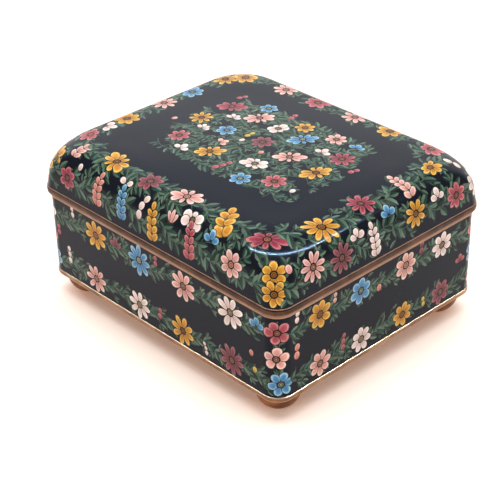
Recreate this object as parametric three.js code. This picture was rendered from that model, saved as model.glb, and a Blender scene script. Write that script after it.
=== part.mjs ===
// A cloisonne enamel box with a lift-off lid, standing on four half-ball feet.
//
// Millimetres, +Z up. X runs along the box's long side, Y along its short side, and the origin lies
// on the floor under the middle of the box. Every piece except the feet is a rounded rectangle swept
// through a short profile, so the whole box is built from two helpers: shell() for the two hollow
// trays (body and lid) and band() for the three copper frames.
//
// The pieces, from the floor up: four feet, a copper band round the bottom edge, the enamelled body,
// the copper rim of the body with its locating lip, the copper rim of the lid, and the domed lid.

import * as THREE from 'three';

// ---- driving dimensions -------------------------------------------------------------------------

const LID_LENGTH = 120;            // across the lid's enamel wall, long side
const LID_WIDTH = 100;             // across the lid's enamel wall, short side
const LID_CORNER = 6.4;            // plan radius of the lid's upright corners
const BODY_INSET = 0.8;            // how far the body's walls stand in from the lid's
const BODY_CORNER = 6.2;           // plan radius of the body's upright corners
const GAP = 0.3;                   // joint between neighbouring pieces

const FOOT_HEIGHT = 8;
const FOOT_RADIUS = 7.9;
const FOOT_FLAT_RADIUS = 3.0;      // the small flat that the ball stands on
const FOOT_INSET = 9.4;            // foot centre, in from the body's faces

const BAND_HEIGHT = 1.9;
const BAND_THICKNESS = 1.0;        // depth let into the body's bottom edge
const BAND_PROUD = 0.35;

const BODY_RISE = 30.2;            // enamel wall, from the band to the rim
const BODY_WALL = 2.2;
const BODY_FILLET = 3.0;           // inside, where the wall meets the floor

const RIM_HEIGHT = 1.2;            // copper rim of the body
const RIM_PROUD = 0.4;
const LIP_OUTER_INSET = 1.6;       // locating lip, measured in from the body's faces
const LIP_THICKNESS = 1.0;
const LIP_HEIGHT = 2.6;

const LID_RIM_HEIGHT = 2.7;
const LID_RIM_PROUD = 0.42;
const LID_WALL = 2.0;
const LID_WALL_RISE = 4.7;         // the nearly upright part of the lid's side
const SHOULDER_RUN = 7.4;          // the rounded shoulder, measured level
const SHOULDER_RISE = 11.9;        // and upright
const SHOULDER_START = 8;          // degrees of the ellipse where the shoulder leaves the wall
const SHOULDER_END = 88.5;         // and where it runs into the slightly domed top
const TOP_CORNER = 19;             // plan radius of the flat top's corners

const CORNER_STEPS = 8;            // facets in one upright corner
const SHOULDER_STEPS = 9;
const ROUND_STEPS = 6;             // facets in a half-round copper edge
const FOOT_STEPS = 8;
const FOOT_SIDES = 28;

// ---- heights worked out from them ---------------------------------------------------------------

const BAND_BOTTOM = FOOT_HEIGHT;
const BAND_TOP = BAND_BOTTOM + BAND_HEIGHT;
const BODY_UNDERSIDE = BAND_BOTTOM + GAP;
const BODY_FLOOR = BODY_UNDERSIDE + BODY_WALL;
const RIM_BOTTOM = BAND_TOP + BODY_RISE;
const RIM_TOP = RIM_BOTTOM + RIM_HEIGHT;
const LID_RIM_BOTTOM = RIM_TOP + GAP;
const LID_RIM_TOP = LID_RIM_BOTTOM + LID_RIM_HEIGHT;
const BODY_LENGTH = LID_LENGTH - 2 * BODY_INSET;
const BODY_WIDTH = LID_WIDTH - 2 * BODY_INSET;

const radians = THREE.MathUtils.degToRad;

// ---- materials ----------------------------------------------------------------------------------

const COLOURS = {
  enamel: { color: 0x1d2027, roughness: 0.16, metalness: 0.0 },
  rimCopper: { color: 0x8a6250, roughness: 0.42, metalness: 1.0 },
  footCopper: { color: 0x9c6a42, roughness: 0.45, metalness: 1.0 },
};

function piece(name, geometry, look) {
  const mesh = new THREE.Mesh(geometry, new THREE.MeshStandardMaterial(look));
  mesh.name = name;
  return mesh;
}

// ---- rounded rectangles and what is swept from them ---------------------------------------------

// One level loop of a rounded rectangle, counter-clockwise, drawn `inset` inside length x width.
function roundedLoop({ length, width, inset, radius, z }) {
  const halfX = length / 2 - inset;
  const halfY = width / 2 - inset;
  const r = Math.min(Math.max(radius, 0.4), halfX - 0.1, halfY - 0.1);
  const corners = [[1, 1], [-1, 1], [-1, -1], [1, -1]];
  return corners.flatMap(([sx, sy], quarter) =>
    Array.from({ length: CORNER_STEPS + 1 }, (_, i) => {
      const angle = (quarter + i / CORNER_STEPS) * Math.PI / 2;
      return [sx * (halfX - r) + r * Math.cos(angle), sy * (halfY - r) + r * Math.sin(angle), z];
    }));
}

function meshFrom(points, triangles) {
  const geometry = new THREE.BufferGeometry();
  geometry.setAttribute('position', new THREE.Float32BufferAttribute(points.flat(), 3));
  geometry.setIndex(triangles.flat());
  geometry.computeVertexNormals();
  return geometry;
}

// The two triangles of each facet between neighbouring loops `a` and `b` of `count` points.
function strip(a, b, count) {
  return Array.from({ length: count }, (_, i) => {
    const next = (i + 1) % count;
    return [a + i, a + next, b + next, a + i, b + next, b + i];
  }).flat();
}

// A closed body whose loops run from a first flat cap to a last one, as in a tray: under the floor,
// up the outside, over the edge and down the inside. Each cap is a fan about its middle.
function shell(loops) {
  const count = loops[0].length;
  const points = loops.flat();
  const triangles = [];
  for (let row = 0; row + 1 < loops.length; row += 1) {
    triangles.push(...strip(row * count, (row + 1) * count, count));
  }
  const firstMiddle = points.push([0, 0, loops[0][0][2]]) - 1;
  const lastMiddle = points.push([0, 0, loops.at(-1)[0][2]]) - 1;
  const last = (loops.length - 1) * count;
  for (let i = 0; i < count; i += 1) {
    const next = (i + 1) % count;
    triangles.push(firstMiddle, next, i);
    triangles.push(lastMiddle, last + i, last + next);
  }
  return meshFrom(points, triangles);
}

// A closed frame: the section is a closed outline of [inset, z] points, anticlockwise as seen with
// the outside of the box on the right.
function band({ length, width, corner }, section) {
  const loops = section.map(([inset, z]) =>
    roundedLoop({ length, width, inset, radius: corner - inset, z }));
  const count = loops[0].length;
  const triangles = loops.flatMap((_, row) =>
    strip(row * count, ((row + 1) % loops.length) * count, count));
  return meshFrom(loops.flat(), triangles);
}

// The rounded outer face of a copper edge, from its bottom to its top, standing `proud` of the wall.
function roundedFace(bottom, top, proud) {
  const middle = (bottom + top) / 2;
  const half = (top - bottom) / 2;
  return Array.from({ length: ROUND_STEPS + 1 }, (_, i) => {
    const angle = radians(-90 + 180 * i / ROUND_STEPS);
    return [-proud * Math.cos(angle), middle + half * Math.sin(angle)];
  });
}

// ---- the body -----------------------------------------------------------------------------------

// An open tray. Its outer bottom edge is stepped in to take the copper band.
function bodyGeometry() {
  const step = BAND_THICKNESS + GAP;
  const outside = [
    [step, BODY_UNDERSIDE],
    [step, BAND_TOP + GAP],
    [0, BAND_TOP + GAP],
    [0, RIM_BOTTOM - GAP],
    [BODY_WALL, RIM_BOTTOM - GAP],
  ];
  const fillet = Array.from({ length: 5 }, (_, i) => {
    const angle = radians(90 * i / 4);
    return [
      BODY_WALL + BODY_FILLET * (1 - Math.cos(angle)),
      BODY_FLOOR + BODY_FILLET * (1 - Math.sin(angle)),
    ];
  });
  const loops = [...outside, ...fillet].map(([inset, z]) =>
    roundedLoop({ length: BODY_LENGTH, width: BODY_WIDTH, inset, radius: BODY_CORNER - inset, z }));
  return shell(loops);
}

const BODY_PLAN = { length: BODY_LENGTH, width: BODY_WIDTH, corner: BODY_CORNER };
const LID_PLAN = { length: LID_LENGTH, width: LID_WIDTH, corner: LID_CORNER };

function baseBandGeometry() {
  const section = [
    [BAND_THICKNESS, BAND_BOTTOM],
    ...roundedFace(BAND_BOTTOM, BAND_TOP, BAND_PROUD),
    [BAND_THICKNESS, BAND_TOP],
  ];
  return band(BODY_PLAN, section);
}

// The rim caps the body's wall, and its lip stands up inside the lid so that the lid stays put.
function bodyRimGeometry() {
  const lipInner = LIP_OUTER_INSET + LIP_THICKNESS;
  const lipTop = RIM_TOP + LIP_HEIGHT;
  const section = [
    [lipInner, RIM_BOTTOM],
    ...roundedFace(RIM_BOTTOM, RIM_TOP, RIM_PROUD),
    [LIP_OUTER_INSET, RIM_TOP],
    [LIP_OUTER_INSET, lipTop - 0.4],
    [LIP_OUTER_INSET + 0.3, lipTop],
    [lipInner, lipTop],
  ];
  return band(BODY_PLAN, section);
}

// ---- the lid ------------------------------------------------------------------------------------

function lidRimGeometry() {
  const section = [
    [LID_WALL, LID_RIM_BOTTOM],
    ...roundedFace(LID_RIM_BOTTOM, LID_RIM_TOP, LID_RIM_PROUD),
    [LID_WALL, LID_RIM_TOP],
  ];
  return band(LID_PLAN, section);
}

// The lid's outer profile, from the rim up: [inset, z, level part and upright part of its normal].
// The wall leans in a little, the shoulder is part of an ellipse that leaves the wall and meets the
// top without a crease, and the top is a shallow dome that is level in the middle.
function lidProfile() {
  const start = radians(SHOULDER_START);
  const end = radians(SHOULDER_END);
  const across = SHOULDER_RUN / (Math.cos(start) - Math.cos(end));
  const upright = SHOULDER_RISE / (Math.sin(end) - Math.sin(start));
  const wallLean = LID_WALL_RISE * across * Math.tan(start) / upright;
  const shoulderBottom = LID_RIM_TOP + LID_WALL_RISE;

  const wallLength = Math.hypot(LID_WALL_RISE, wallLean);
  const profile = [[0, LID_RIM_TOP + GAP, LID_WALL_RISE / wallLength, wallLean / wallLength]];
  for (let i = 0; i <= SHOULDER_STEPS; i += 1) {
    const angle = start + (end - start) * i / SHOULDER_STEPS;
    const inset = wallLean + across * (Math.cos(start) - Math.cos(angle));
    const z = shoulderBottom + upright * (Math.sin(angle) - Math.sin(start));
    const level = upright * Math.cos(angle);
    const up = across * Math.sin(angle);
    const size = Math.hypot(level, up);
    profile.push([inset, z, level / size, up / size]);
  }

  const [edgeInset, edgeZ] = profile.at(-1);
  const slope = upright / (across * Math.tan(end));
  const run = LID_WIDTH / 2 - edgeInset;
  for (const fraction of [0.16, 0.38, 0.62, 0.84]) {
    const inset = edgeInset + run * fraction;
    const z = edgeZ + slope * run * (fraction - fraction * fraction / 2);
    profile.push([inset, z, 0, 1]);
  }
  return profile;
}

// The upright corners open out from the rim's small radius to the top's large one.
function lidCorner(inset) {
  const opened = Math.min(inset / (SHOULDER_RUN + 0.4), 1);
  return LID_CORNER + (TOP_CORNER - LID_CORNER) * opened;
}

function lidGeometry() {
  const outer = lidProfile();
  const outside = outer.map(([inset, z]) =>
    roundedLoop({ length: LID_LENGTH, width: LID_WIDTH, inset, radius: lidCorner(inset), z }));
  const inside = outer.map(([inset, z, level, up]) => roundedLoop({
    length: LID_LENGTH,
    width: LID_WIDTH,
    inset: inset + LID_WALL * level,
    radius: lidCorner(inset) - LID_WALL * level,
    z: z - LID_WALL * up,
  }));
  inside[0].forEach((point) => { point[2] = LID_RIM_TOP + GAP; });
  return shell([...inside.reverse(), ...outside]);
}

// ---- the feet -----------------------------------------------------------------------------------

function footGeometry() {
  const outline = [new THREE.Vector2(0, 0)];
  for (let i = 0; i <= FOOT_STEPS; i += 1) {
    const angle = radians(90 * i / FOOT_STEPS);
    const radius = FOOT_FLAT_RADIUS + (FOOT_RADIUS - FOOT_FLAT_RADIUS) * Math.sin(angle);
    outline.push(new THREE.Vector2(radius, FOOT_HEIGHT * (1 - Math.cos(angle))));
  }
  outline.push(new THREE.Vector2(0, FOOT_HEIGHT));
  return new THREE.LatheGeometry(outline, FOOT_SIDES).rotateX(Math.PI / 2);
}

function feet() {
  const group = new THREE.Group();
  const alongX = BODY_LENGTH / 2 - FOOT_INSET;
  const alongY = BODY_WIDTH / 2 - FOOT_INSET;
  for (const [xSide, sx] of [['left', -1], ['right', 1]]) {
    for (const [ySide, sy] of [['front', -1], ['back', 1]]) {
      const foot = piece(`foot_${ySide}_${xSide}`, footGeometry(), COLOURS.footCopper);
      foot.position.set(sx * alongX, sy * alongY, 0);
      group.add(foot);
    }
  }
  return group;
}

// ---- the box ------------------------------------------------------------------------------------

const box = new THREE.Group();
box.add(feet());
box.add(piece('base_band', baseBandGeometry(), COLOURS.footCopper));
box.add(piece('box_body', bodyGeometry(), COLOURS.enamel));
box.add(piece('box_rim', bodyRimGeometry(), COLOURS.rimCopper));
box.add(piece('lid_rim', lidRimGeometry(), COLOURS.rimCopper));
box.add(piece('lid', lidGeometry(), COLOURS.enamel));

export default box;
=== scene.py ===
# %% [markdown]
# # A cloisonne enamel box
#
# Cloisonne is glass laid on copper. The maker bends flat wire into little fences, called cells,
# fixes them to a copper box, fills each cell with ground coloured glass, fires it, and grinds and
# polishes it flush, so that the wires end as fine lines in one smooth glossy skin. Here the box
# stands on four copper ball feet, has a copper band at its base and a copper rim on each half of
# its joint, and its black ground is crossed by garlands of flowers and leaves. The scene starts
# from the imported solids, which fix every size and place.

# %% Open the frame
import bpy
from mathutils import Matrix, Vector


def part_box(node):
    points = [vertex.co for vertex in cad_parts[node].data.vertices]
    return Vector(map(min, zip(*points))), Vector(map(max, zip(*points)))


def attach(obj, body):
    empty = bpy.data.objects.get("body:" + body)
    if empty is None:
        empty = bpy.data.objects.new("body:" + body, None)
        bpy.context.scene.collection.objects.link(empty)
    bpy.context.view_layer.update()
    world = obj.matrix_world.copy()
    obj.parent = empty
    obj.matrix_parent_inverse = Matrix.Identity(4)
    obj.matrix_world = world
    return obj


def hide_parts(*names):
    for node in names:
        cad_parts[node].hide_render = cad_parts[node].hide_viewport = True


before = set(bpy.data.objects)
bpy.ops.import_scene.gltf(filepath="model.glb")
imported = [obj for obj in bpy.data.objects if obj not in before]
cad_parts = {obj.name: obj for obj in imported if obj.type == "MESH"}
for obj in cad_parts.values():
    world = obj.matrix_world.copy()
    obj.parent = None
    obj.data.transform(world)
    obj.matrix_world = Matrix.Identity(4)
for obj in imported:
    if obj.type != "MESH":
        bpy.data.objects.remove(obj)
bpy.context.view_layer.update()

# %% [markdown]
# ## Sizes
#
# Every size is read from the solids' own boxes, or is the same small number that they were made
# with, such as a corner's radius. Artwork is drawn in millimetres, because that is how a pattern
# is drawn on copper, and it is turned into metres at the last step.

# %% Sizes, in millimetres
import math
import random

import bmesh
import bpy
import numpy as np
from mathutils import Vector
from mathutils.geometry import delaunay_2d_cdt

MM = 0.001
chance = random.Random(11)


def span(node):
    low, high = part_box(node)
    return [v / MM for v in low], [v / MM for v in high]


LID_X, LID_Y, _ = span("lid")[1]
(_, _, BODY_BOTTOM), (BODY_X, BODY_Y, _) = span("box_body")
(_, _, RIM_BOTTOM), (_, _, RIM_TOP) = span("lid_rim")
(_, _, BAND_BOTTOM), (_, _, BAND_TOP) = span("base_band")
BODY_TOP = span("box_rim")[0][2]
LID_CORNER, BODY_CORNER, TOP_CORNER = 6.4, 6.2, 19.0    # plan radii: lid, body and flat top
BODY_WALL, LID_WALL, INNER_FILLET = 2.2, 2.0, 3.0       # thicknesses, and the curve round the floor
UPRIGHT, SHOULDER_RUN, SHOULDER_CLIMB = 4.7, 7.4, 11.9  # the lid's upright edge and its shoulder
SHOULDER_FIRST, SHOULDER_LAST = math.radians(8), math.radians(88.5)
FOOT_FLAT = 3.0                                         # radius of the flat that a foot stands on
print("lid", LID_X * 2, "x", LID_Y * 2, "rim top", RIM_TOP, "body wall", BAND_TOP, "to", BODY_TOP)

# %% [markdown]
# ## The shaders' shorthand
#
# A material is a small calculation. Written as nodes it soon becomes hard to read, so one class
# wraps a socket and lets it be added, multiplied and subtracted like a number.

# %% Nodes as sums
class Reading:
    """One number of a material's node tree."""

    def __init__(self, finish, socket):
        self.finish, self.socket = finish, socket

    def sum(self, operation, first, second):
        return self.finish.node("Math", {"operation": operation}, {0: first, 1: second})

    def __add__(self, other): return self.sum("ADD", self, other)
    def __radd__(self, other): return self.sum("ADD", other, self)
    def __sub__(self, other): return self.sum("SUBTRACT", self, other)
    def __rsub__(self, other): return self.sum("SUBTRACT", other, self)
    def __mul__(self, other): return self.sum("MULTIPLY", self, other)
    def __rmul__(self, other): return self.sum("MULTIPLY", other, self)


print("readings ready")

# %% Materials in the making
class Finish:
    """A material in the making, with its one Principled shader."""

    def __init__(self, name, **steady):
        self.material = bpy.data.materials.new(name)
        self.material.use_nodes = True
        self.tree = self.material.node_tree
        self.shader = self.tree.nodes["Principled BSDF"]
        for socket, value in steady.items():
            self.shader.inputs[socket.replace("_", " ")].default_value = value
        self.place = self.node("TexCoord", output="Object")

    def put(self, socket, value):
        if isinstance(value, Reading):
            self.tree.links.new(value.socket, socket)
        else:
            socket.default_value = value

    def node(self, kind, settings=None, inputs=None, output=0):
        made = self.tree.nodes.new("ShaderNode" + kind)
        for name, value in (settings or {}).items():
            if name == "stops":
                ramp = made.color_ramp.elements
                while len(ramp) < len(value):
                    ramp.new(0.5)
                for stop, (at, colour) in zip(ramp, value):
                    stop.position, stop.color = at, (*colour, 1) if len(colour) == 3 else colour
            else:
                setattr(made, name, value)
        for name, value in (inputs or {}).items():
            self.put(made.inputs[name], value)
        return Reading(self, made.outputs[output])

    def noise(self, size, detail=3, rough=0.5, where=None):
        """Cloudy noise from 0 to 1 whose clouds are `size` millimetres across."""
        return self.node("TexNoise", None, {"Vector": where or self.place, "Scale": 1 / (size * MM),
                                            "Detail": detail, "Roughness": rough})

    def step(self, value, low, high):
        return self.node("MapRange", {"interpolation_type": "SMOOTHSTEP"},
                         {0: value, 1: low, 2: high, 3: 0.0, 4: 1.0})

    def mix(self, share, first, second, blend="MIX"):
        return self.node("Mix", {"data_type": "RGBA", "blend_type": blend},
                         {0: share, 6: first, 7: second}, output=2)

    def bump(self, height, depth, strength=1.0):
        return self.node("Bump", None, {"Strength": strength, "Distance": depth * MM, "Height": height})

    def feed(self, **sockets):
        for name, value in sockets.items():
            self.put(self.shader.inputs[name.replace("_", " ")], value)
        return self.material


print("finishes ready")

# %% Colour chips
def glass(code):
    """A colour chip, as its two-digit red, green and blue, in the light values the shader wants."""
    parts = [int(code[i:i + 2], 16) / 255 for i in (0, 2, 4)]
    return tuple(p / 12.92 if p <= 0.04045 else ((p + 0.055) / 1.055) ** 2.4 for p in parts)


def chip(code):
    return (*glass(code), 1.0)


print("shorthand ready")

# %% [markdown]
# ## Light, floor and camera
#
# The box stands on plain white paper in a studio. Polished black glass shows whatever it faces,
# so the room matters as much as the lamps: a bright wall behind gives the flat top its soft grey,
# and a darker ceiling leaves the rounded shoulder deep black. The camera has a long lens and
# looks down at the near corner.

# %% Camera
def stand_camera():
    lens = bpy.data.cameras.new("camera")
    lens.sensor_width = 36.0
    lens.lens = 101.25
    lens.shift_x, lens.shift_y = -0.0076, 0.0006
    camera = bpy.data.objects.new("camera", lens)
    bpy.context.scene.collection.objects.link(camera)
    turn, tilt, roll = (math.radians(angle) for angle in (46.85, 31.30, -1.17))
    target, away = Vector((47.85, -47.62, 60.88)), 426.4
    back = Vector((math.sin(turn) * math.cos(tilt), -math.cos(turn) * math.cos(tilt), math.sin(tilt)))
    camera.location = (target + back * away) * MM
    camera.rotation_euler = back.to_track_quat("Z", "Y").to_euler()
    camera.rotation_euler.rotate_axis("Z", roll)
    bpy.context.scene.camera = camera
    return camera


camera = stand_camera()
print("camera at", tuple(round(v, 4) for v in camera.location))

# %% [markdown]
# An operator acts on everything that is selected, so each new piece starts with nothing selected.

# %% Nothing selected
def drop_selection():
    if bpy.context.object and bpy.context.object.mode != "OBJECT":
        bpy.ops.object.mode_set(mode="OBJECT")
    for each in list(bpy.context.selected_objects):
        each.select_set(False)


drop_selection()
print("selected now:", len(bpy.context.selected_objects))

# %% [markdown]
# The room is a world shader that tells directions apart: grey all round, and one white wall
# behind the box that fades to a dark ceiling. Its light falls softly on the box, and the flat top
# mirrors the wall.

# %% The room
def light_room():
    """A dim room with one bright wall behind the box."""
    scene = bpy.context.scene
    scene.view_settings.view_transform = "Standard"
    world = bpy.data.worlds.new("room")
    scene.world = world
    world.use_nodes = True
    tree = world.node_tree

    def add(kind, operation=None, **inputs):
        node = tree.nodes.new("ShaderNode" + kind)
        if operation:
            node.operation = operation
        for index, value in inputs.items():
            socket = node.inputs[int(index[1:])]
            if hasattr(value, "is_output"):
                tree.links.new(value, socket)
            else:
                socket.default_value = value
        return node.outputs

    heading = add("TexCoord")["Generated"]
    behind = add("VectorMath", "DOT_PRODUCT", _0=heading, _1=(-0.72, 0.69, 0.0))["Value"]
    wall_share = add("MapRange", _0=behind, _1=0.30, _2=0.62)[0]
    up = add("SeparateXYZ", _0=heading)["Z"]
    ramp = tree.nodes.new("ShaderNodeValToRGB")
    stops = [(0.0, "ffffff"), (0.46, "ffffff"), (0.53, "d8dae2"), (0.62, "80838c"), (0.72, "2c2d32")]
    while len(ramp.color_ramp.elements) < len(stops):
        ramp.color_ramp.elements.new(0.5)
    for element, (at, code) in zip(ramp.color_ramp.elements, stops):
        element.position, element.color = at, chip(code)
    tree.links.new(up, ramp.inputs[0])
    mix = tree.nodes.new("ShaderNodeMix")
    mix.data_type = "RGBA"
    tree.links.new(wall_share, mix.inputs[0])
    mix.inputs[6].default_value = chip("484a4f")
    tree.links.new(ramp.outputs[0], mix.inputs[7])
    tree.links.new(mix.outputs[2], tree.nodes["Background"].inputs["Color"])
    tree.nodes["Background"].inputs["Strength"].default_value = 1.7


light_room()
print("room strength", bpy.context.scene.world.node_tree.nodes["Background"].inputs["Strength"].default_value)

# %% [markdown]
# Three soft boxes do the lighting and are hidden from the polish. A long thin strip, hung high
# across the view, does the opposite: it is only mirrored, as a fine bright line on the shoulder. The floor is
# pale paper with a faint warm glow of its own, painted light that lifts the shadows on it to tan.

# %% Lamps
STRIP_TURN = math.radians(43.2)
STRIP_PLACE = (0.4 * math.cos(STRIP_TURN), 0.4 * math.sin(STRIP_TURN))


def lamp(name, place, aim, size, power, tint, mirrored=False):
    """A soft box. Only a `mirrored` one shows in the polish, as a flagged studio lamp would."""
    light = bpy.data.lights.new(name, "AREA")
    light.shape, light.size, light.size_y = "RECTANGLE", size[0], size[1]
    light.energy, light.color = power, glass(tint)
    holder = bpy.data.objects.new(name, light)
    bpy.context.scene.collection.objects.link(holder)
    holder.location = place
    holder.rotation_euler = (Vector(place) - Vector(aim)).to_track_quat("Z", "Y").to_euler()
    holder.visible_glossy = mirrored
    return holder


lamp("soft_box_over", (-0.05, 0.05, 0.9), (0, 0, 0), (1.1, 1.1), 13.4, "fffcf8")
lamp("soft_box_front", (0.25, -0.85, 0.55), (0, 0, 0.03), (0.8, 0.5), 2.2, "fffaf4")
lamp("soft_box_right", (0.9, -0.1, 0.5), (0, 0, 0.03), (0.6, 0.5), 1.9, "fffaf4")
strip = lamp("ceiling_strip", (*STRIP_PLACE, 1.0), (*STRIP_PLACE, 0), (2.8, 0.03), 95.0, "d8f4ff", True)
strip.rotation_euler = (0, 0, STRIP_TURN)
strip.visible_diffuse = False
print("lamps hung")

# %% Floor
def lay_floor():
    drop_selection()
    bpy.ops.mesh.primitive_plane_add(size=6.0, location=(0, 0, 0))
    floor = bpy.context.object
    floor.name = "paper_floor"
    # The warm emission is painted light: a faint glow of the paper's own that lifts and warms the shadows on
    # the floor.
    paper = Finish("white_paper", Roughness=0.85,
                   Emission_Color=(1.0, 0.45, 0.22, 1.0), Emission_Strength=0.24)
    grain = paper.noise(40, 4)
    floor.data.materials.append(paper.feed(Base_Color=paper.mix(grain, chip("f9f4ee"), chip("fbf7f2"))))
    return floor


lay_floor()

# %% [markdown]
# ## Copper finishes
#
# The rims and the feet are bare copper that has been handled for a century. It is no longer
# bright: the rims have gone reddish brown, with paler metal where fingers rub the high line, and
# the feet are a yellower brown with dark spots. Broad clouds give the tarnish, fine noise the spots,
# and long thin scratches follow the metal.

# %% Copper
def copper(name, dark, middle, bright):
    metal = Finish(name, Metallic=0.86)
    clouds = metal.noise(7.0, 5, 0.6)
    spots = metal.noise(0.9, 4, 0.65)
    rubbed = metal.step(metal.node("NewGeometry", output=7), 0.50, 0.58)
    tarnish = metal.mix(metal.step(clouds, 0.36, 0.66), chip(dark), chip(middle))
    tarnish = metal.mix(rubbed * 0.7, tarnish, chip(bright))
    tarnish = metal.mix(metal.step(spots, 0.60, 0.74) * 0.7, tarnish, chip(dark))
    stretched = metal.node("Mapping", None, {0: metal.place, 3: (1.0, 1.0, 14.0)})
    drawn = metal.noise(3.0, 3, 0.6, stretched)
    height = spots * 0.5 + drawn
    return metal.feed(Base_Color=tarnish, Roughness=0.30 + clouds * 0.18 + spots * 0.12,
                      Normal=metal.bump(height, 0.05, 0.5))


rim_copper = copper("rim_copper_brown", "26150f", "523427", "b08a76")
joint_copper = copper("joint_copper_tan", "553828", "8c6850", "c8a68c")
band_copper = copper("band_copper_golden", "6e4630", "a07a5c", "cdb096")
foot_copper = copper("foot_copper_amber", "5a3219", "a0683a", "d09a66")
print("copper finishes made")

# %% [markdown]
# ## The copper frames
#
# Each frame is a strip of metal bent round the box: a rounded rectangle with a softly rounded
# outer face. It starts as a block of the frame's size. Its four upright edges are bevelled to the
# corner's radius, its top and bottom are inset by the metal's depth, and the two inset faces are
# bridged, which leaves a hollow frame. Level cuts then give the outer face rings, and each ring is
# fattened by what the rounding needs.

# %% Picking by a test
TOUCH = 2e-6


def pick(piece, faces=None, edges=None, points=None):
    """Leaves selected, in edit mode, only what the given tests say yes to."""
    mesh = bmesh.from_edit_mesh(piece.data)
    for item in (*mesh.faces, *mesh.edges, *mesh.verts):
        item.select = False
    chosen = 0
    for items, test in ((mesh.faces, faces), (mesh.edges, edges), (mesh.verts, points)):
        if test:
            for item in items:
                if test(item):
                    item.select_set(True)
                    chosen += 1
    bmesh.update_edit_mesh(piece.data)
    return chosen


def at_height(item, z):
    return all(abs(v.co.z - z * MM) < TOUCH for v in item.verts)


print("an item counts as lying at a height within", TOUCH * 1e6, "micrometres")


# %% A hollow frame with a rounded face
def copper_frame(name, half_x, half_y, corner, bottom, top, depth, rings, lip=None):
    """A frame whose outer face is `rings`: heights up the face with how far each stands proud."""
    drop_selection()
    bpy.ops.mesh.primitive_cube_add(size=1, location=(0, 0, (bottom + top) / 2 * MM),
                                    scale=(2 * half_x * MM, 2 * half_y * MM, (top - bottom) * MM))
    frame_piece = bpy.context.object
    frame_piece.name = name
    bpy.ops.object.transform_apply(location=True, rotation=True, scale=True)
    bpy.ops.object.mode_set(mode="EDIT")
    bpy.ops.mesh.select_mode(type="EDGE")
    pick(frame_piece, edges=lambda e: abs(e.verts[0].co.z - e.verts[1].co.z) > 1e-5)
    bpy.ops.mesh.bevel(offset=corner * MM, segments=18, affect="EDGES")
    bpy.ops.mesh.select_mode(type="FACE")
    pick(frame_piece, faces=lambda f: at_height(f, bottom))
    bpy.ops.mesh.inset(thickness=depth * MM)
    pick(frame_piece, faces=lambda f: at_height(f, top) and len(f.verts) > 4)
    if lip:
        start, thick, rise = lip
        bpy.ops.mesh.inset(thickness=start * MM)
        bpy.ops.mesh.inset(thickness=thick * MM)
    else:
        bpy.ops.mesh.inset(thickness=depth * MM)
    pick(frame_piece, faces=lambda f: len(f.verts) > 4)
    bpy.ops.mesh.bridge_edge_loops()
    for z, _ in rings:
        if bottom + 1e-3 < z < top - 1e-3:
            pick(frame_piece, faces=lambda f: True)
            bpy.ops.mesh.bisect(plane_co=(0, 0, z * MM), plane_no=(0, 0, 1))
    bpy.ops.mesh.select_mode(type="VERT")

    def outwards(place):
        """How far a place is from the middle of its corner's curve, or from the line of two."""
        gone_x, gone_y = abs(place.x) - (half_x - corner) * MM, abs(place.y) - (half_y - corner) * MM
        return math.hypot(max(gone_x, 0), max(gone_y, 0))

    for z, proud in rings:
        if proud:
            pick(frame_piece, points=lambda v: abs(v.co.z - z * MM) <= TOUCH
                 and outwards(v.co) > (corner - depth * 0.3) * MM)
            bpy.ops.transform.shrink_fatten(value=proud * MM)
    if lip:
        bpy.ops.mesh.select_mode(type="FACE")
        pick(frame_piece, faces=lambda f: at_height(f, top)
             and outwards(f.calc_center_median()) < (corner - start - 0.1) * MM)
        bpy.ops.mesh.extrude_region_move(TRANSFORM_OT_translate={"value": (0, 0, rise * MM)})
        pick(frame_piece, edges=lambda e: at_height(e, top + rise) and not all(
            at_height(f, top + rise) for f in e.link_faces))
        bpy.ops.mesh.bevel(offset=0.25 * MM, segments=2, affect="EDGES")
    bpy.ops.object.mode_set(mode="OBJECT")
    bpy.ops.object.shade_smooth_by_angle(angle=math.radians(35))
    return frame_piece


print("frame recipe ready")

# %% Rounded faces and the metal laid on
def half_round(bottom, top, proud, count=9):
    """Rings of a softly rounded face between two heights."""
    middle, half = (bottom + top) / 2, (top - bottom) / 2
    turns = [math.pi * (i / (count - 1) - 0.5) for i in range(count)]
    return [(middle + half * math.sin(t), proud * math.cos(t)) for t in turns]


def clad(piece, metal, slot_name, *nodes):
    piece.data.materials.clear()
    piece.data.materials.append(metal)
    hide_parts(*nodes)
    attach(piece, "root")
    print(piece.name, "faces", len(piece.data.polygons))
    return piece


print("frame tools ready")

# %% [markdown]
# The lid's rim is a broad half-round with a thin bead along its top edge, which catches the light.

# %% The rim of the lid
BEAD = 0.55
seam = RIM_TOP - BEAD
rim_rings = half_round(RIM_BOTTOM, seam, 0.42, 10)[:-1]
rim_rings += [(seam, 0.10)] + half_round(seam, RIM_TOP, 0.27, 6)[1:-1]
lid_rim = clad(copper_frame("lid_rim_moulding", LID_X, LID_Y, LID_CORNER, RIM_BOTTOM, RIM_TOP, LID_WALL,
                            rim_rings),
               rim_copper, "rim_copper", "lid_rim")

# %% [markdown]
# The box's own rim is a thin line. A low lip stands up inside it, so that the lid can't slide off.

# %% The rim of the box
JOINT_TOP = BODY_TOP + 1.2
LIP = (1.6, 1.0, 2.6)              # how far in it starts, its thickness and its height
box_rim = clad(copper_frame("box_rim_line", BODY_X, BODY_Y, BODY_CORNER, BODY_TOP, JOINT_TOP, LIP[0] + LIP[1],
                            half_round(BODY_TOP, JOINT_TOP, 0.38, 8), LIP),
               joint_copper, "rim_copper", "box_rim")

# %% [markdown]
# The last frame is a narrow band, let into the bottom edge of the wall.

# %% The band round the base
base_band = clad(copper_frame("base_band_strip", BODY_X, BODY_Y, BODY_CORNER, BAND_BOTTOM, BAND_TOP, 1.0,
                              half_round(BAND_BOTTOM, BAND_TOP, 0.33, 9)),
                 band_copper, "foot_copper", "base_band")

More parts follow.
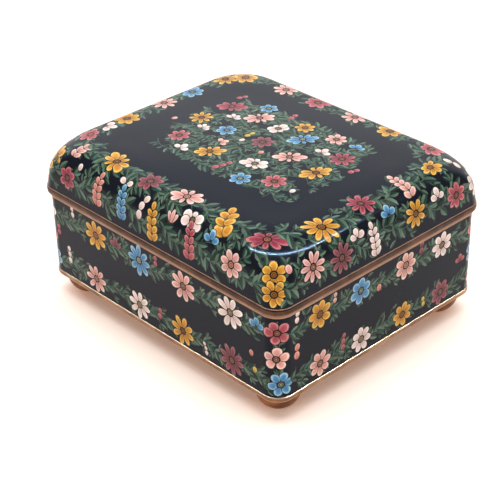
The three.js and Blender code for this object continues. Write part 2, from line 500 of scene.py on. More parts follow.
# %% [markdown]
# ## The ball feet
#
# Each foot is a copper ball pressed a little flat where it stands, and soldered under a corner of
# the box. A sphere is cut off flat below and above with two bisects, and the edge that it stands
# on is bevelled, as wear would round it. The same steps make all four, each at its own corner.

# %% Four ball feet
def ball_foot(node):
    low, high = span(node)
    middle = ((low[0] + high[0]) / 2, (low[1] + high[1]) / 2)
    radius = (high[0] - low[0]) / 2
    height = high[2]
    sunk = math.sqrt(radius ** 2 - FOOT_FLAT ** 2)
    drop_selection()
    bpy.ops.mesh.primitive_uv_sphere_add(segments=56, ring_count=36, radius=radius * MM,
                                         location=(middle[0] * MM, middle[1] * MM, sunk * MM))
    foot = bpy.context.object
    foot.name = "ball_" + node
    bpy.ops.object.transform_apply(location=True, rotation=True, scale=True)
    bpy.ops.object.mode_set(mode="EDIT")
    bpy.ops.mesh.select_all(action="SELECT")
    bpy.ops.mesh.bisect(plane_co=(0, 0, 0), plane_no=(0, 0, 1), clear_inner=True, use_fill=True)
    bpy.ops.mesh.select_all(action="SELECT")
    bpy.ops.mesh.bisect(plane_co=(0, 0, height * MM), plane_no=(0, 0, 1), clear_outer=True, use_fill=True)
    bpy.ops.mesh.select_mode(type="EDGE")
    pick(foot, edges=lambda e: at_height(e, 0))
    bpy.ops.mesh.bevel(offset=0.35 * MM, segments=3, affect="EDGES")
    bpy.ops.object.mode_set(mode="OBJECT")
    bpy.ops.object.shade_smooth_by_angle(angle=math.radians(40))
    return clad(foot, foot_copper, "foot_copper", node)


for corner_name in ("front_left", "front_right", "back_left", "back_right"):
    ball_foot("foot_" + corner_name)

# %% [markdown]
# ## Two charts
#
# A maker draws the pattern flat and wraps it on the copper. The scene does the same: a chart is a
# flat map of the surface in millimetres, with a function that lifts a point of the map onto the
# metal. The body's wall unrolls into a plain strip. The lid's map is a plan of its top, opened
# out so that its shoulder and its wall lie round the plan like a border.

# %% The body's chart
class Wall:
    """The body's upright wall, unrolled: u runs round the box from the middle of the front, v up."""

    sides = ("front", "right", "back", "left")

    def __init__(self, half_x, half_y, corner):
        self.flat = (half_x - corner, half_y - corner)
        self.corner = corner
        self.bend = corner * math.pi / 2
        self.quarters = (self.flat[0] + self.bend / 2, self.flat[1] + self.bend / 2)
        self.around = 4 * sum(self.quarters)

    def start(self, side):
        """Where the middle of a side lies on the chart."""
        return self.sides.index(side) * sum(self.quarters)

    def lift(self, chart):
        quarter_x, quarter_y = self.quarters
        u = (chart[:, 0] + quarter_x) % self.around - quarter_x
        side = np.where(u < quarter_x, 0, np.where(u < quarter_x + 2 * quarter_y, 1, np.where(
            u < 3 * quarter_x + 2 * quarter_y, 2, 3)))
        along = u - side * (quarter_x + quarter_y)
        flat = np.where(side % 2 == 0, self.flat[0], self.flat[1])
        deep = np.where(side % 2 == 0, self.flat[1], self.flat[0]) + self.corner
        over = np.maximum(np.abs(along) - flat, 0) / self.corner
        across = np.sign(along) * (np.minimum(np.abs(along), flat) + self.corner * np.sin(over))
        out = deep - self.corner * (1 - np.cos(over))
        turn = side * math.pi / 2
        x = across * np.cos(turn) + out * np.sin(turn)
        y = across * np.sin(turn) - out * np.cos(turn)
        return np.stack([x, y, chart[:, 1]], -1)

    def spot_at(self, side, along, height):
        return self.start(side) + along, height


wall = Wall(BODY_X, BODY_Y, BODY_CORNER)
print("the wall unrolls to", round(wall.around, 2), "mm")

# %% [markdown]
# The lid's wall leans in a little, its shoulder is part of an ellipse, and its top is a very
# shallow cushion. A height line, a given number of millimetres above the rim, is a rounded
# rectangle, and it lies on the chart as a rounded rectangle too. The chart's corners are roomier
# than the real ones, so motifs are sized on the metal and not on the chart.

# %% The lid's chart
class Lid:
    """The lid's outside, opened flat about the middle of its top."""

    sides = Wall.sides

    def __init__(self):
        first, last = SHOULDER_FIRST, SHOULDER_LAST
        level = SHOULDER_RUN / (math.cos(first) - math.cos(last))
        upright = SHOULDER_CLIMB / (math.sin(last) - math.sin(first))
        lean = UPRIGHT * level * math.tan(first) / upright
        turn = np.linspace(first, last, 241)
        inset = np.concatenate([[0], lean + level * (math.cos(first) - np.cos(turn))])
        height = np.concatenate([[0], UPRIGHT + upright * (np.sin(turn) - math.sin(first))]) + RIM_TOP
        self.inset, self.height = inset, height
        self.rise = np.concatenate([[0], np.cumsum(np.hypot(np.diff(inset), np.diff(height)))])
        self.edge = float(self.rise[-1])          # from the rim up to the flat top's edge
        self.open = SHOULDER_RUN + 0.4
        self.half = (LID_X - inset[-1], LID_Y - inset[-1])
        self.middle = (self.half[0] - TOP_CORNER, self.half[1] - TOP_CORNER)
        self.slope = upright / (level * math.tan(last))
        self.top = float(height[-1])

    def loop(self, up):
        """The height line `up` millimetres above the rim: inset, height, corner and flat lengths."""
        inset = np.interp(up, self.rise, self.inset)
        height = np.interp(up, self.rise, self.height)
        corner = LID_CORNER + (TOP_CORNER - LID_CORNER) * np.minimum(inset / self.open, 1)
        return inset, height, corner, (LID_X - inset - corner, LID_Y - inset - corner)

    def crown(self, x, y, inside):
        run = self.half[1]
        share = np.clip(inside / run, 0, 1)
        terraced = self.slope * run * (share - share ** 2 / 2)
        cushion = 0.93 * (1 - (x / self.half[0]) ** 2) * (1 - (y / self.half[1]) ** 2)
        blend = np.clip(inside / 16, 0, 1)
        blend = blend ** 2 * (3 - 2 * blend)
        return self.top + terraced * (1 - blend) + cushion * blend

    def lift(self, chart):
        u, v = chart[:, 0], chart[:, 1]
        over_x, over_y = np.abs(u) - self.middle[0], np.abs(v) - self.middle[1]
        reach = np.hypot(np.maximum(over_x, 0), np.maximum(over_y, 0)) + np.minimum(
            np.maximum(over_x, over_y), 0)
        outside = reach - TOP_CORNER
        flat = np.stack([u, v, self.crown(u, v, np.maximum(-outside, 0))], -1)

        out = np.clip(outside, 0, self.edge)
        radius = TOP_CORNER + out
        angle = np.arctan2(np.maximum(over_x, 0), np.maximum(over_y, 1e-9))
        long_side = (angle <= math.pi / 4) & (over_y > 0)
        own = np.where(long_side, self.middle[0], self.middle[1])
        turned = np.where(long_side, angle, math.pi / 2 - angle)
        position = np.where(long_side, np.minimum(np.abs(u), own), np.minimum(np.abs(v), own))
        position = position + np.where((over_x > 0) & (over_y > 0), radius * turned, 0)
        share = position / (own + radius * math.pi / 4)
        inset, height, corner, (flat_x, flat_y) = self.loop(self.edge - out)
        straight = np.where(long_side, flat_x, flat_y)
        other = np.where(long_side, flat_y, flat_x)
        real = share * (straight + corner * math.pi / 4)
        bent = np.maximum(real - straight, 0) / corner
        across = np.minimum(real, straight) + corner * np.sin(bent)
        deep = other + corner * np.cos(bent)
        x = np.where(long_side, across, deep) * np.sign(u)
        y = np.where(long_side, deep, across) * np.sign(v)
        sloped = np.stack([x, y, height], -1)
        return np.where((outside > 0)[:, None], sloped, flat)

    def chart_of(self, side, share, out):
        """The chart's point a given share of the way from a side's middle to its corner."""
        while abs(share) > 1:
            step = 1 if share > 0 else -1
            side, share = (side + step) % 4, share - 2 * step
        radius = TOP_CORNER + out
        own, other = self.middle if side % 2 == 0 else self.middle[::-1]
        reach = abs(share) * (own + radius * math.pi / 4)
        turned = max(reach - own, 0) / radius
        across = math.copysign(min(reach, own) + radius * math.sin(turned), share)
        deep = other + radius * math.cos(turned)
        return ((across, -deep), (deep, across), (-across, deep), (-deep, -across))[side]

    def spot_at(self, side, along, up):
        """The point `along` millimetres from the middle of a side, `up` millimetres over the rim."""
        side = self.sides.index(side)
        if up <= self.edge:
            _, _, corner, flat = self.loop(up)
            straight = float(flat[side % 2])
            half = straight + float(corner) * math.pi / 4
        else:
            half = self.middle[side % 2] + max(TOP_CORNER + self.edge - up, 0.5) * math.pi / 4
        share = along / half
        while abs(share) > 1:
            step = 1 if share > 0 else -1
            side, share = (side + step) % 4, share - 2 * step
        return self.chart_of(side, share, self.edge - up)


lid_chart = Lid()
print("the lid's shoulder ends", round(lid_chart.edge, 2), "mm above its rim")

# %% [markdown]
# ## Motifs are placed on the metal
#
# A flower four millimetres across has to be four millimetres across wherever it sits. Each
# motif is given a spot: a point of the chart with two directions, along the garland and up the
# surface, that turn real millimetres on the metal into the chart's own.

# %% A spot on the metal
class Spot:
    """A place on a chart with its own right and up, in real millimetres."""

    def __init__(self, origin, axes):
        self.origin, self.axes = origin, axes
        (a, b), (c, d) = axes
        size = a * d - b * c
        self.back = ((d / size, -b / size), (-c / size, a / size))

    def at(self, x, y):
        (a, b), (c, d) = self.axes
        return self.origin[0] + a * x + b * y, self.origin[1] + c * x + d * y

    def local(self, u, v):
        u, v = u - self.origin[0], v - self.origin[1]
        (a, b), (c, d) = self.back
        return a * u + b * v, c * u + d * v

    def turned(self, angle, x=0.0, y=0.0):
        (a, b), (c, d) = self.axes
        cos, sin = math.cos(angle), math.sin(angle)
        return Spot(self.at(x, y), ((a * cos + b * sin, -a * sin + b * cos),
                                    (c * cos + d * sin, -c * sin + d * cos)))


def spot_on(chart, origin, upright=None):
    """The spot at a chart point. Its up is the way out from the rim, or `upright` in the plan."""
    eps = 0.05
    u, v = origin
    p, pu, pv = chart.lift(np.array([[u, v], [u + eps, v], [u, v + eps]]))
    du, dv = (pu - p) / eps, (pv - p) / eps
    normal = np.cross(du, dv)
    normal /= np.linalg.norm(normal)
    if upright is None:
        up = np.array([0, 0, 1.0])
        if abs(normal[2]) > 0.995:
            up = np.array([-p[0], -p[1], 0.0])
    else:
        up = np.array([*upright, 0.0])
    up = up - normal * up.dot(normal)
    up /= np.linalg.norm(up)
    right = np.cross(up, normal)
    jac = np.stack([du, dv], 1)
    solve = np.linalg.inv(jac.T @ jac) @ jac.T
    (a, c), (b, d) = solve @ right, solve @ up
    return Spot(origin, ((a, b), (c, d)))


print("spots ready")

# %% [markdown]
# ## The glass
#
# Each flower is two or three glasses of one family: a deep one by the heart, a full one in the
# middle of the petal and a pale one at its edge, laid wet side by side so that they run
# together in the kiln. Leaves are half dark and half pale green. The black ground is never quite
# black: it is a very dark blue.

# %% Glass colours
GROUND = glass("13161f")
WIRE_SHADE = glass("6a4a2c")
FLOWERS = {
    "gold": ("7c4414", "c8882c", "ecc468"),
    "pink": ("a05a58", "d89a90", "f4d6cc"),
    "rose": ("702c34", "a84c54", "d48a8e"),
    "plum": ("4a222a", "7c424a", "a86e74"),
    "blue": ("24507e", "4684b4", "a2cce2"),
    "white": ("a88a84", "e2cac4", "fcf0ea"),
    "coral": ("a05048", "d08478", "eab4a6"),
    "crimson": ("601c28", "94384a", "c47880"),
    "yellow": ("86681e", "c8a83e", "e6cf78"),
}
FLOWERS = {name: [glass(code) for code in codes] for name, codes in FLOWERS.items()}
GREENS = [tuple(glass(code) for code in pair) for pair in (
    ("22382f", "587060"), ("2c483d", "6a8272"), ("1d342c", "496658"), ("2d483c", "607a68"))]
STEM = glass("4a6454")
HEARTS = {"gold": ("43220f", "9a6428"), "pink": ("5c2e30", "b98a6a"), "rose": ("40161c", "b07050"),
          "plum": ("2c1016", "8f5c4c"), "blue": ("1c3048", "9aa07a"), "white": ("54463a", "a8905c"),
          "coral": ("4a1a14", "b98a5a"), "crimson": ("360e16", "a86a50"), "yellow": ("4a3a14", "9a8034")}
HEARTS = {name: [glass(code) for code in codes] for name, codes in HEARTS.items()}


def blend(first, second, share):
    return tuple(a + (b - a) * share for a, b in zip(first, second))


def fired(colour, spread=0.10):
    """Glass from another jar is never quite the same."""
    lift = 1 + chance.uniform(-spread, spread)
    return tuple(min(c * lift * (1 + chance.uniform(-0.03, 0.03)), 1.0) for c in colour)


print(len(FLOWERS), "flower glasses")

# %% [markdown]
# ## Cells
#
# A cell is an outline on the chart with what fills it: glass or wire. Cells are laid like
# paper cut-outs, later ones over earlier ones, and at the end every spot of the surface belongs to
# the topmost cell there. The wire round a cell is the same outline grown by the wire's width.

# %% Laying cells
PETAL_WIRE, LEAF_WIRE, PETAL_GAP = 0.24, 0.12, 0.62


class Pattern:
    """Every cell of one chart, in the order they are laid."""

    def __init__(self, around=None):
        self.cells = []
        self.around = around

    def lay(self, spot, outline, fill, tint=None):
        points = [spot.at(x, y) for x, y in outline]
        area = sum(p[0] * q[1] - q[0] * p[1] for p, q in zip(points, points[1:] + points[:1]))
        if area < 0:
            points.reverse()
        self.cells.append((points, fill, tint, spot))
        if self.around and max(p[0] for p in points) > self.around - 70:
            moved = Spot((spot.origin[0] - self.around, spot.origin[1]), spot.axes)
            self.cells.append(([(u - self.around, v) for u, v in points], fill, tint, moved))


def grown(outline, width):
    """The outline moved outwards by `width` all round."""
    count, result = len(outline), []
    for i in range(count):
        (ax, ay), (x, y), (bx, by) = outline[i - 1], outline[i], outline[(i + 1) % count]
        one, two = math.hypot(x - ax, y - ay) or 1, math.hypot(bx - x, by - y) or 1
        nx, ny = (y - ay) / one + (by - y) / two, -(x - ax) / one - (bx - x) / two
        size = math.hypot(nx, ny) or 1
        reach = width / max(size / 2, 0.55)
        result.append((x + nx / size * reach, y + ny / size * reach))
    return result


def seed(length, width, blunt=0.3, count=12):
    """A petal's outline along x, from its root at 0 to its tip."""
    points = []
    for i in range(count):
        t = 2 * math.pi * (i + 0.5) / count
        x = (1 - math.cos(t)) / 2
        points.append((x * length, -width / 2 * math.sin(t) * (1 - blunt + blunt * x * 1.25)))
    return points


def disc(radius, count=10):
    turns = [2 * math.pi * i / count for i in range(count)]
    return [(radius * math.cos(t), radius * math.sin(t)) for t in turns]


def petal(pattern, spot, length, width, glasses, blunt=0.3):
    outline = seed(length, width, blunt)
    deep, full, pale = (fired(g) for g in glasses)

    def tint(x, y):
        share = min(max(x / length, 0), 1)
        off = min(math.hypot((x / length - 0.5) * 2, y / width * 2), 1)
        inside = blend(deep, full, min(share * 2.2, 1))
        edge = blend(blend(deep, full, 0.6), pale, min(share * 1.9, 1))
        return blend(inside, edge, min(max((off - 0.45) / 0.45, 0), 1))

    pattern.lay(spot, grown(outline, PETAL_WIRE), "wire")
    pattern.lay(spot, outline, "glass", tint)
    pattern.lay(spot, [(0.5 * length + (x - 0.5 * length) * 0.52, y * 0.5) for x, y in outline[::2]],
                "glass", tint)


def plain(colour):
    return lambda x, y: colour


def heart(pattern, spot, radius, kind):
    dark, light = (fired(c, 0.15) for c in HEARTS[kind])
    pattern.lay(spot, disc(radius + 0.42, 12), "glass", plain(GROUND))
    pattern.lay(spot, disc(radius + 0.12), "wire")
    pattern.lay(spot, disc(radius * 0.92), "glass", plain(blend(light, dark, chance.choice((0.1, 0.5)))))
    pattern.lay(spot, disc(radius * 0.60, 8), "wire")
    pattern.lay(spot, disc(radius * 0.36, 8), "glass", plain(blend(dark, light, 0.9)))


print("cells ready")

# %% Flowers
def bloom(pattern, spot, radius, kind, petals=8, tall=1.0):
    """An open flower seen from above: narrow petals when there are eight or more, plump when
    fewer. `tall` below 1 stretches it sideways."""
    glasses = FLOWERS[kind]
    narrow = petals > 7
    core = radius * (0.22 if narrow else 0.25) / tall ** 0.5
    start = chance.uniform(0, 6.28) if tall == 1.0 else math.pi / 2

    def edge(angle):
        return radius / math.hypot(math.sin(angle), tall * math.cos(angle))

    pattern.lay(spot, [(0.84 * edge(t) * math.cos(t), 0.84 * edge(t) * math.sin(t))
                       for t in (math.pi / 6 * i for i in range(12))], "glass", plain(GROUND))
    for i in range(petals):
        angle = start + 2 * math.pi * (i + chance.uniform(-0.07, 0.07)) / petals
        if tall != 1.0:
            angle = math.atan2(math.sin(angle) * tall ** 0.6, math.cos(angle))
        out = edge(angle)
        length = (out - core) * chance.uniform(0.92, 1.06)
        room = 2 * math.pi * (core + 0.60 * (out - core)) / petals * (1.0 if tall == 1.0 else 1.12)
        width = min(room - PETAL_GAP, length * 0.60) if narrow else min(room * 1.06 - 0.60, length)
        petal(pattern, spot.turned(angle).turned(0, core * 0.92, 0), length, max(width, 0.36 * length),
              glasses, 0.34 if narrow else 0.12)
    heart(pattern, spot, core * 0.88, kind)


print("open flowers ready")

# %% Flowers from the side, tall flowers and buds
def half_bloom(pattern, spot, radius, kind, petals=4, spread=2.3):
    """A flower seen from its side: a fan of petals that opens along the spot's up."""
    glasses = FLOWERS[kind]
    for side in (-0.95, 0.95):
        leaf(pattern, spot.turned(math.pi / 2 + side, 0, -0.4), radius * 0.66, radius * 0.26)
    for i in range(petals):
        angle = math.pi / 2 + (spread * (i / (petals - 1) - 0.5) if petals > 1 else 0)
        length = radius * (0.84 + 0.16 * math.sin(angle)) * chance.uniform(0.92, 1.08)
        width = min(radius * spread / petals * 0.98 - 0.20, length * 0.72)
        petal(pattern, spot.turned(angle).turned(0, 0.14 * radius, 0), length * 0.88, max(width, 1.0),
              glasses, 0.22)


def double_bloom(pattern, spot, radius, kind, rows=3):
    """A tall flower: plump petals in pairs up its stem, smaller towards the tip."""
    step = 2.2 * radius / (rows + 0.6)
    spot = spot.turned(chance.uniform(-0.15, 0.15), 0, -1.1 * radius)
    for row in range(rows):
        size = step * (1.32 - 0.10 * row)
        for way in (1, -1):
            lean = math.pi / 2 + way * chance.uniform(0.55, 0.8)
            petal(pattern, spot.turned(lean, way * -0.12, step * (row + 0.1)), size, size * 0.70,
                  FLOWERS[kind], 0.12)
    petal(pattern, spot.turned(math.pi / 2, 0, step * (rows - 0.15)), step * 1.05, step * 0.72,
          FLOWERS[kind], 0.12)


def beads(pattern, spot, size, kind, count=3, bow=0.25):
    """Buds in a row, each a small oval cell, along a slightly bowed line."""
    place = spot.turned(math.pi / 2)
    for i in range(count):
        grow = size * 1.15 * (1 - 0.08 * i)
        petal(pattern, place, grow, grow * 0.80, FLOWERS[kind], 0.1)
        place = place.turned(bow, grow * 1.04, 0)


def tulip(pattern, spot, size, kind):
    for side in (-0.9, 0.9):
        leaf(pattern, spot.turned(math.pi / 2 + side, 0, -0.4), size * 0.6, size * 0.24)
    for angle in (-0.55, 0.55, 0.0):
        petal(pattern, spot.turned(math.pi / 2 + angle), size * (1.0 if angle else 1.12), size * 0.40,
              FLOWERS[kind], 0.25)


print("buds ready")

# %% Leaves and stems
def leaf(pattern, spot, length, width):
    """A pointed leaf with a dark half and a pale half, divided by its rib."""
    dark, pale = chance.choice(GREENS)
    dark, pale = fired(dark, 0.15), fired(pale, 0.12)
    if chance.random() < 0.5:
        dark, pale = pale, dark
    side = [(0.14, 0.36), (0.42, 0.55), (0.76, 0.38)]
    upper = [(x * length, y * width) for x, y in side]
    lower = [(x, -y) for x, y in upper]
    rib = [(0, 0), (length, 0)]
    whole = [(0, 0), *lower, (length, 0), *upper[::-1]]
    pattern.lay(spot, grown(whole, LEAF_WIRE), "wire")

    def shade(colour):
        dim, lit = tuple(c * 0.62 for c in colour), tuple(min(c * 1.12, 1) for c in colour)
        return lambda x, y: blend(dim, lit, min(max(x / length, 0), 1))

    pattern.lay(spot, [*rib, *upper[::-1]], "glass", shade(pale))
    pattern.lay(spot, [(0, 0), *lower, (length, 0)], "glass", shade(dark))


def stem(pattern, chart, path, width=0.24):
    """A thin green line through chart points, laid as short overlapping pieces."""
    for (ua, va), (ub, vb) in zip(path, path[1:]):
        spot = spot_on(chart, ((ua + ub) / 2, (va + vb) / 2))
        ax, ay = spot.local(ua, va)
        bx, by = spot.local(ub, vb)
        size = math.hypot(bx - ax, by - ay)
        if size < 0.05 or size > 6:
            continue
        ox, oy = (bx - ax) / size, (by - ay) / size
        w = width / 2
        px, py, qx, qy = oy * w, ox * w, ox * w * 0.5, oy * w * 0.5
        outline = [(ax - qx + px, ay - qy - py), (bx + qx + px, by + qy - py),
                   (bx + qx - px, by + qy + py), (ax - qx - px, ay - qy + py)]
        pattern.lay(spot, outline, "glass", plain(STEM))


print("motifs ready")

# %% [markdown]
# ## Garlands
#
# A garland is a wavy stem that runs from flower to flower, with pairs of leaves all along it
# like an ear of wheat, and small sprigs that fill the band on both sides. Its stem is
# worked out as a smooth curve through given points, and the leaves lean forward along it.

# %% Growing a garland
def smooth_path(points, pitch):
    """Points every `pitch` millimetres on a smooth curve through `points`."""
    result = []
    ends = [points[0], *points, points[-1]]
    for a, b, c, d in zip(ends, ends[1:], ends[2:], ends[3:]):
        steps = max(int(math.hypot(c[0] - b[0], c[1] - b[1]) / pitch), 1)
        for i in range(steps):
            t = i / steps
            result.append(tuple(0.5 * (2 * q + (r - p) * t + (2 * p - 5 * q + 4 * r - s) * t * t
                                       + (3 * q - p - 3 * r + s) * t ** 3)
                                for p, q, r, s in zip(a, b, c, d)))
    return result + [tuple(points[-1])]


def garland(pattern, chart, side, points, low, high, reach=3.9, every=1.9, sprigs=0.5):
    """A leafy stem along one side through (along, up) points, kept between two heights."""
    path, fine = smooth_path(points, 1.5), smooth_path(points, 0.5)
    walked, turn = 0.0, 1
    leaves = []
    for (ax, ay), (bx, by) in zip(fine, fine[1:]):
        walked += math.hypot(bx - ax, by - ay)
        if walked < every:
            continue
        walked -= every
        angle = math.atan2(by - ay, bx - ax)
        for way in (1, -1):
            if chance.random() < 0.06:
                continue
            lean = chance.uniform(0.50, 0.85) * way
            length = chance.uniform(0.85, 1.15) * reach
            tip = by + length * math.sin(angle + lean)
            if not low < tip < high:
                length *= 0.62
                tip = by + length * math.sin(angle + lean)
                if not low - 0.2 < tip < high + 0.2:
                    continue
            leaves.append((bx, by, angle + lean, length, length * chance.uniform(0.40, 0.50)))
        if chance.random() < sprigs:
            turn = -turn
            away = angle + turn * chance.uniform(0.85, 1.25)
            far = chance.uniform(2.6, 4.4)
            end_x, end_y = bx + far * math.cos(away), by + far * math.sin(away)
            if low + 0.6 < end_y < high - 0.6:
                line = smooth_path([(bx, by), ((bx + end_x) / 2 + 0.3, (by + end_y) / 2), (end_x, end_y)], 1.5)
                stem(pattern, chart, [chart.spot_at(side, *p) for p in line], 0.2)
                for bend in (-0.75, 0.0, 0.75):
                    size = chance.uniform(0.62, 0.85) * reach
                    leaves.append((end_x, end_y, away + bend, size, size * chance.uniform(0.40, 0.50)))
    for x, y, angle, length, width in leaves:
        if low - 0.6 < y + length * math.sin(angle) < high + 0.6:
            leaf(pattern, spot_on(chart, chart.spot_at(side, x, y)).turned(angle, 0.25, 0), length, width)
    stem(pattern, chart, [chart.spot_at(side, *p) for p in path])


print("garlands ready")

# %% [markdown]
# ## The planting of the body
#
# The body carries two rows of garland, one under the rim and one over the base, with a plain
# dark belt between them. Open flowers stand about every twenty millimetres, buds fill in, and
# three flowers climb each corner. Each entry says what it is, its glass, how far along its side and
# how far up the wall it sits, its size, and its number of petals.

# %% The body's flowers
FRONT_WALL = [
    ("beads", "rose", -52.4, 15.6, 1.9, 2), ("beads", "white", -43.2, 26.2, 1.9, 2),
    ("bloom", "gold", -30.5, 24.2, 5.9, 8), ("half", "plum", -19.6, 24.4, 3.4, 3),
    ("bloom", "blue", -7.1, 24.2, 6.0, 8), ("beads", "rose", 1.6, 25.6, 1.8, 2),
    ("bloom", "pink", 15.3, 24.0, 6.0, 8), ("bloom", "white", 37.9, 24.3, 6.1, 8),
    ("half", "blue", 50.0, 24.6, 3.7, 3), ("beads", "white", -47.2, 5.6, 2.2, 3),
    ("bloom", "pink", -32.2, 5.6, 5.5, 8), ("bloom", "white", -8.4, 5.7, 5.7, 8),
    ("beads", "rose", 2.3, 5.0, 2.0, 2), ("bloom", "gold", 14.1, 5.7, 5.7, 8),
    ("beads", "white", 25.8, 1.6, 1.6, 3), ("bloom", "plum", 38.1, 5.8, 5.9, 9),
    ("beads", "yellow", 48.9, 6.5, 2.0, 1), ("beads", "coral", 47.4, 12.4, 2.0, 1),
]
RIGHT_WALL = [
    ("beads", "white", -40.5, 26.2, 2.0, 2), ("bloom", "gold", -30.2, 24.6, 5.3, 7),
    ("beads", "pink", -23.4, 25.8, 1.7, 2), ("bloom", "blue", -11.2, 24.7, 4.9, 6),
    ("beads", "coral", -2.3, 20.6, 2.3, 1), ("bloom", "pink", 10.9, 24.7, 5.3, 7),
    ("beads", "plum", 18.6, 25.6, 2.2, 2), ("bloom", "white", 29.5, 24.6, 5.1, 7),
    ("beads", "coral", -40.6, 12.6, 2.6, 2), ("bloom", "pink", -30.0, 5.5, 5.0, 7),
    ("beads", "rose", -19.3, 5.4, 2.0, 3), ("bloom", "white", -10.5, 5.4, 4.9, 7),
    ("bloom", "gold", 10.0, 5.4, 4.8, 7), ("bloom", "plum", 30.0, 5.3, 4.8, 7),
    ("beads", "yellow", 21.0, 3.6, 1.8, 2), ("half", "rose", 40.0, 13.6, 2.7, 3),
]
CORNER_FLOWERS = [
    ("bloom", "rose", 0.0, 24.8, 4.6, 5), ("bloom", "pink", -0.4, 14.9, 4.6, 5),
    ("bloom", "blue", 1.0, 5.1, 4.7, 6),
]
TURNED_GLASS = {"gold": "blue", "blue": "pink", "pink": "gold", "white": "rose", "plum": "white",
                "rose": "white", "coral": "gold", "yellow": "rose", "crimson": "pink"}


def other_glass(flowers):
    """The same planting in other colours, for the side that faces away."""
    return [(what, TURNED_GLASS[kind], *rest) for what, kind, *rest in flowers]


def plant(pattern, spot, what, kind, size, count):
    if what == "bloom":
        bloom(pattern, spot, size, kind, count)
    elif what == "half":
        half_bloom(pattern, spot, size, kind, count)
    elif what == "wide":
        bloom(pattern, spot, size * 0.72, kind, count, 0.60)
    elif what == "double":
        double_bloom(pattern, spot, size, kind, count)
    elif what == "tulip":
        tulip(pattern, spot, size, kind)
    else:
        beads(pattern, spot, size, kind, count, chance.uniform(-0.3, 0.3))


def wavy(first, last, level, swing, pitch, shift=0.0):
    count = max(int(abs(last - first) / 4), 2)
    xs = [first + (last - first) * i / count for i in range(count + 1)]
    return [(x, level + swing * math.sin((x + shift) / pitch * 2 * math.pi)) for x in xs]


print("body flowers", len(FRONT_WALL + RIGHT_WALL + CORNER_FLOWERS))

# %% Draw the body's pattern
body_pattern = Pattern(wall.around)
for number, (side, flowers) in enumerate((("front", FRONT_WALL), ("right", RIGHT_WALL),
                                          ("back", other_glass(FRONT_WALL)),
                                           ("left", other_glass(RIGHT_WALL)))):
    half = wall.quarters[number % 2]
    pitch = 22.5 if number % 2 == 0 else 20.3
    for level, low, high, shift in ((5.4, 0.7, 11.0, 4.0), (24.4, 19.2, 29.5, -5.0)):
        path = wavy(-half + 2.5, half - 2.5, BAND_TOP + level, 1.3, pitch, shift)
        garland(body_pattern, wall, side, path, BAND_TOP + low, BAND_TOP + high)
    rise = [(half + 0.9 * math.sin(i * 1.3), BAND_TOP + 1.5 + 3.4 * i) for i in range(9)]
    garland(body_pattern, wall, side, rise, BAND_TOP + 0.7, BAND_TOP + 29.4, 2.9, 2.4, 0.0)
    for what, kind, along, up, size, count in flowers:
        spot = spot_on(wall, wall.spot_at(side, along, BAND_TOP + up))
        plant(body_pattern, spot, what, kind, size, count)
    for step, (what, kind, along, up, size, count) in enumerate(CORNER_FLOWERS):
        kind = kind if number == 0 else ("gold", "white", "rose", "blue", "pink")[(number * 2 + step) % 5]
        spot = spot_on(wall, wall.spot_at(side, half + along, BAND_TOP + up))
        plant(body_pattern, spot, what, kind, size, count)
print("body cells", len(body_pattern.cells))

# %% [markdown]
# ## The planting of the lid
#
# The lid has a wide border that runs over its shoulder, with one row of flowers on its wall and
# one on the edge of its top, and a panel of scattered flowers in the middle. A plain dark belt
# divides the two.

# %% The lid's flowers
FRONT_LID = [
    ("bloom", "gold", -53.9, 11.6, 4.8, 6), ("double", "pink", -43.2, 18.4, 4.6, 3),
    ("bloom", "crimson", -44.2, 7.4, 4.4, 6), ("beads", "white", -38.6, 12.0, 2.3, 1),
    ("wide", "gold", -27.0, 21.8, 6.0, 8), ("double", "coral", -28.0, 9.0, 5.4, 4),
    ("half", "white", -15.6, 15.4, 3.4, 2), ("double", "blue", -14.4, 8.8, 5.4, 4),
    ("bloom", "plum", -8.2, 20.8, 4.6, 7), ("beads", "white", -5.6, 6.6, 2.9, 3),
    ("double", "gold", 1.8, 7.8, 5.8, 4), ("wide", "pink", 8.4, 22.3, 5.8, 8),
    ("wide", "white", 18.0, 15.2, 4.6, 6), ("tulip", "pink", 9.6, 11.0, 4.2, 3),
    ("double", "gold", 27.8, 20.4, 6.2, 3), ("half", "blue", 28.4, 11.8, 4.0, 3),
    ("double", "rose", 20.0, 8.2, 5.6, 4), ("bloom", "pink", 38.9, 8.2, 4.9, 7),
    ("wide", "crimson", 46.6, 18.8, 6.2, 8),
]
RIGHT_LID = [
    ("bloom", "pink", -33.1, 9.0, 5.3, 9), ("bloom", "gold", -23.0, 19.4, 6.1, 9),
    ("bloom", "plum", -20.6, 7.0, 5.2, 9), ("half", "white", -12.6, 10.4, 3.6, 3),
    ("double", "white", -4.6, 7.0, 5.3, 4), ("bloom", "crimson", -3.7, 20.6, 5.0, 8),
    ("half", "blue", 3.0, 12.4, 3.8, 3), ("double", "pink", 14.4, 19.8, 5.4, 4),
    ("bloom", "gold", 15.0, 8.4, 5.1, 8), ("bloom", "gold", 30.8, 19.6, 4.8, 7),
    ("half", "white", 26.4, 9.4, 3.8, 3), ("bloom", "rose", 35.4, 7.2, 4.7, 7),
    ("beads", "white", 43.4, 13.6, 2.6, 2), ("beads", "pink", -42.4, 10.4, 2.4, 1),
]
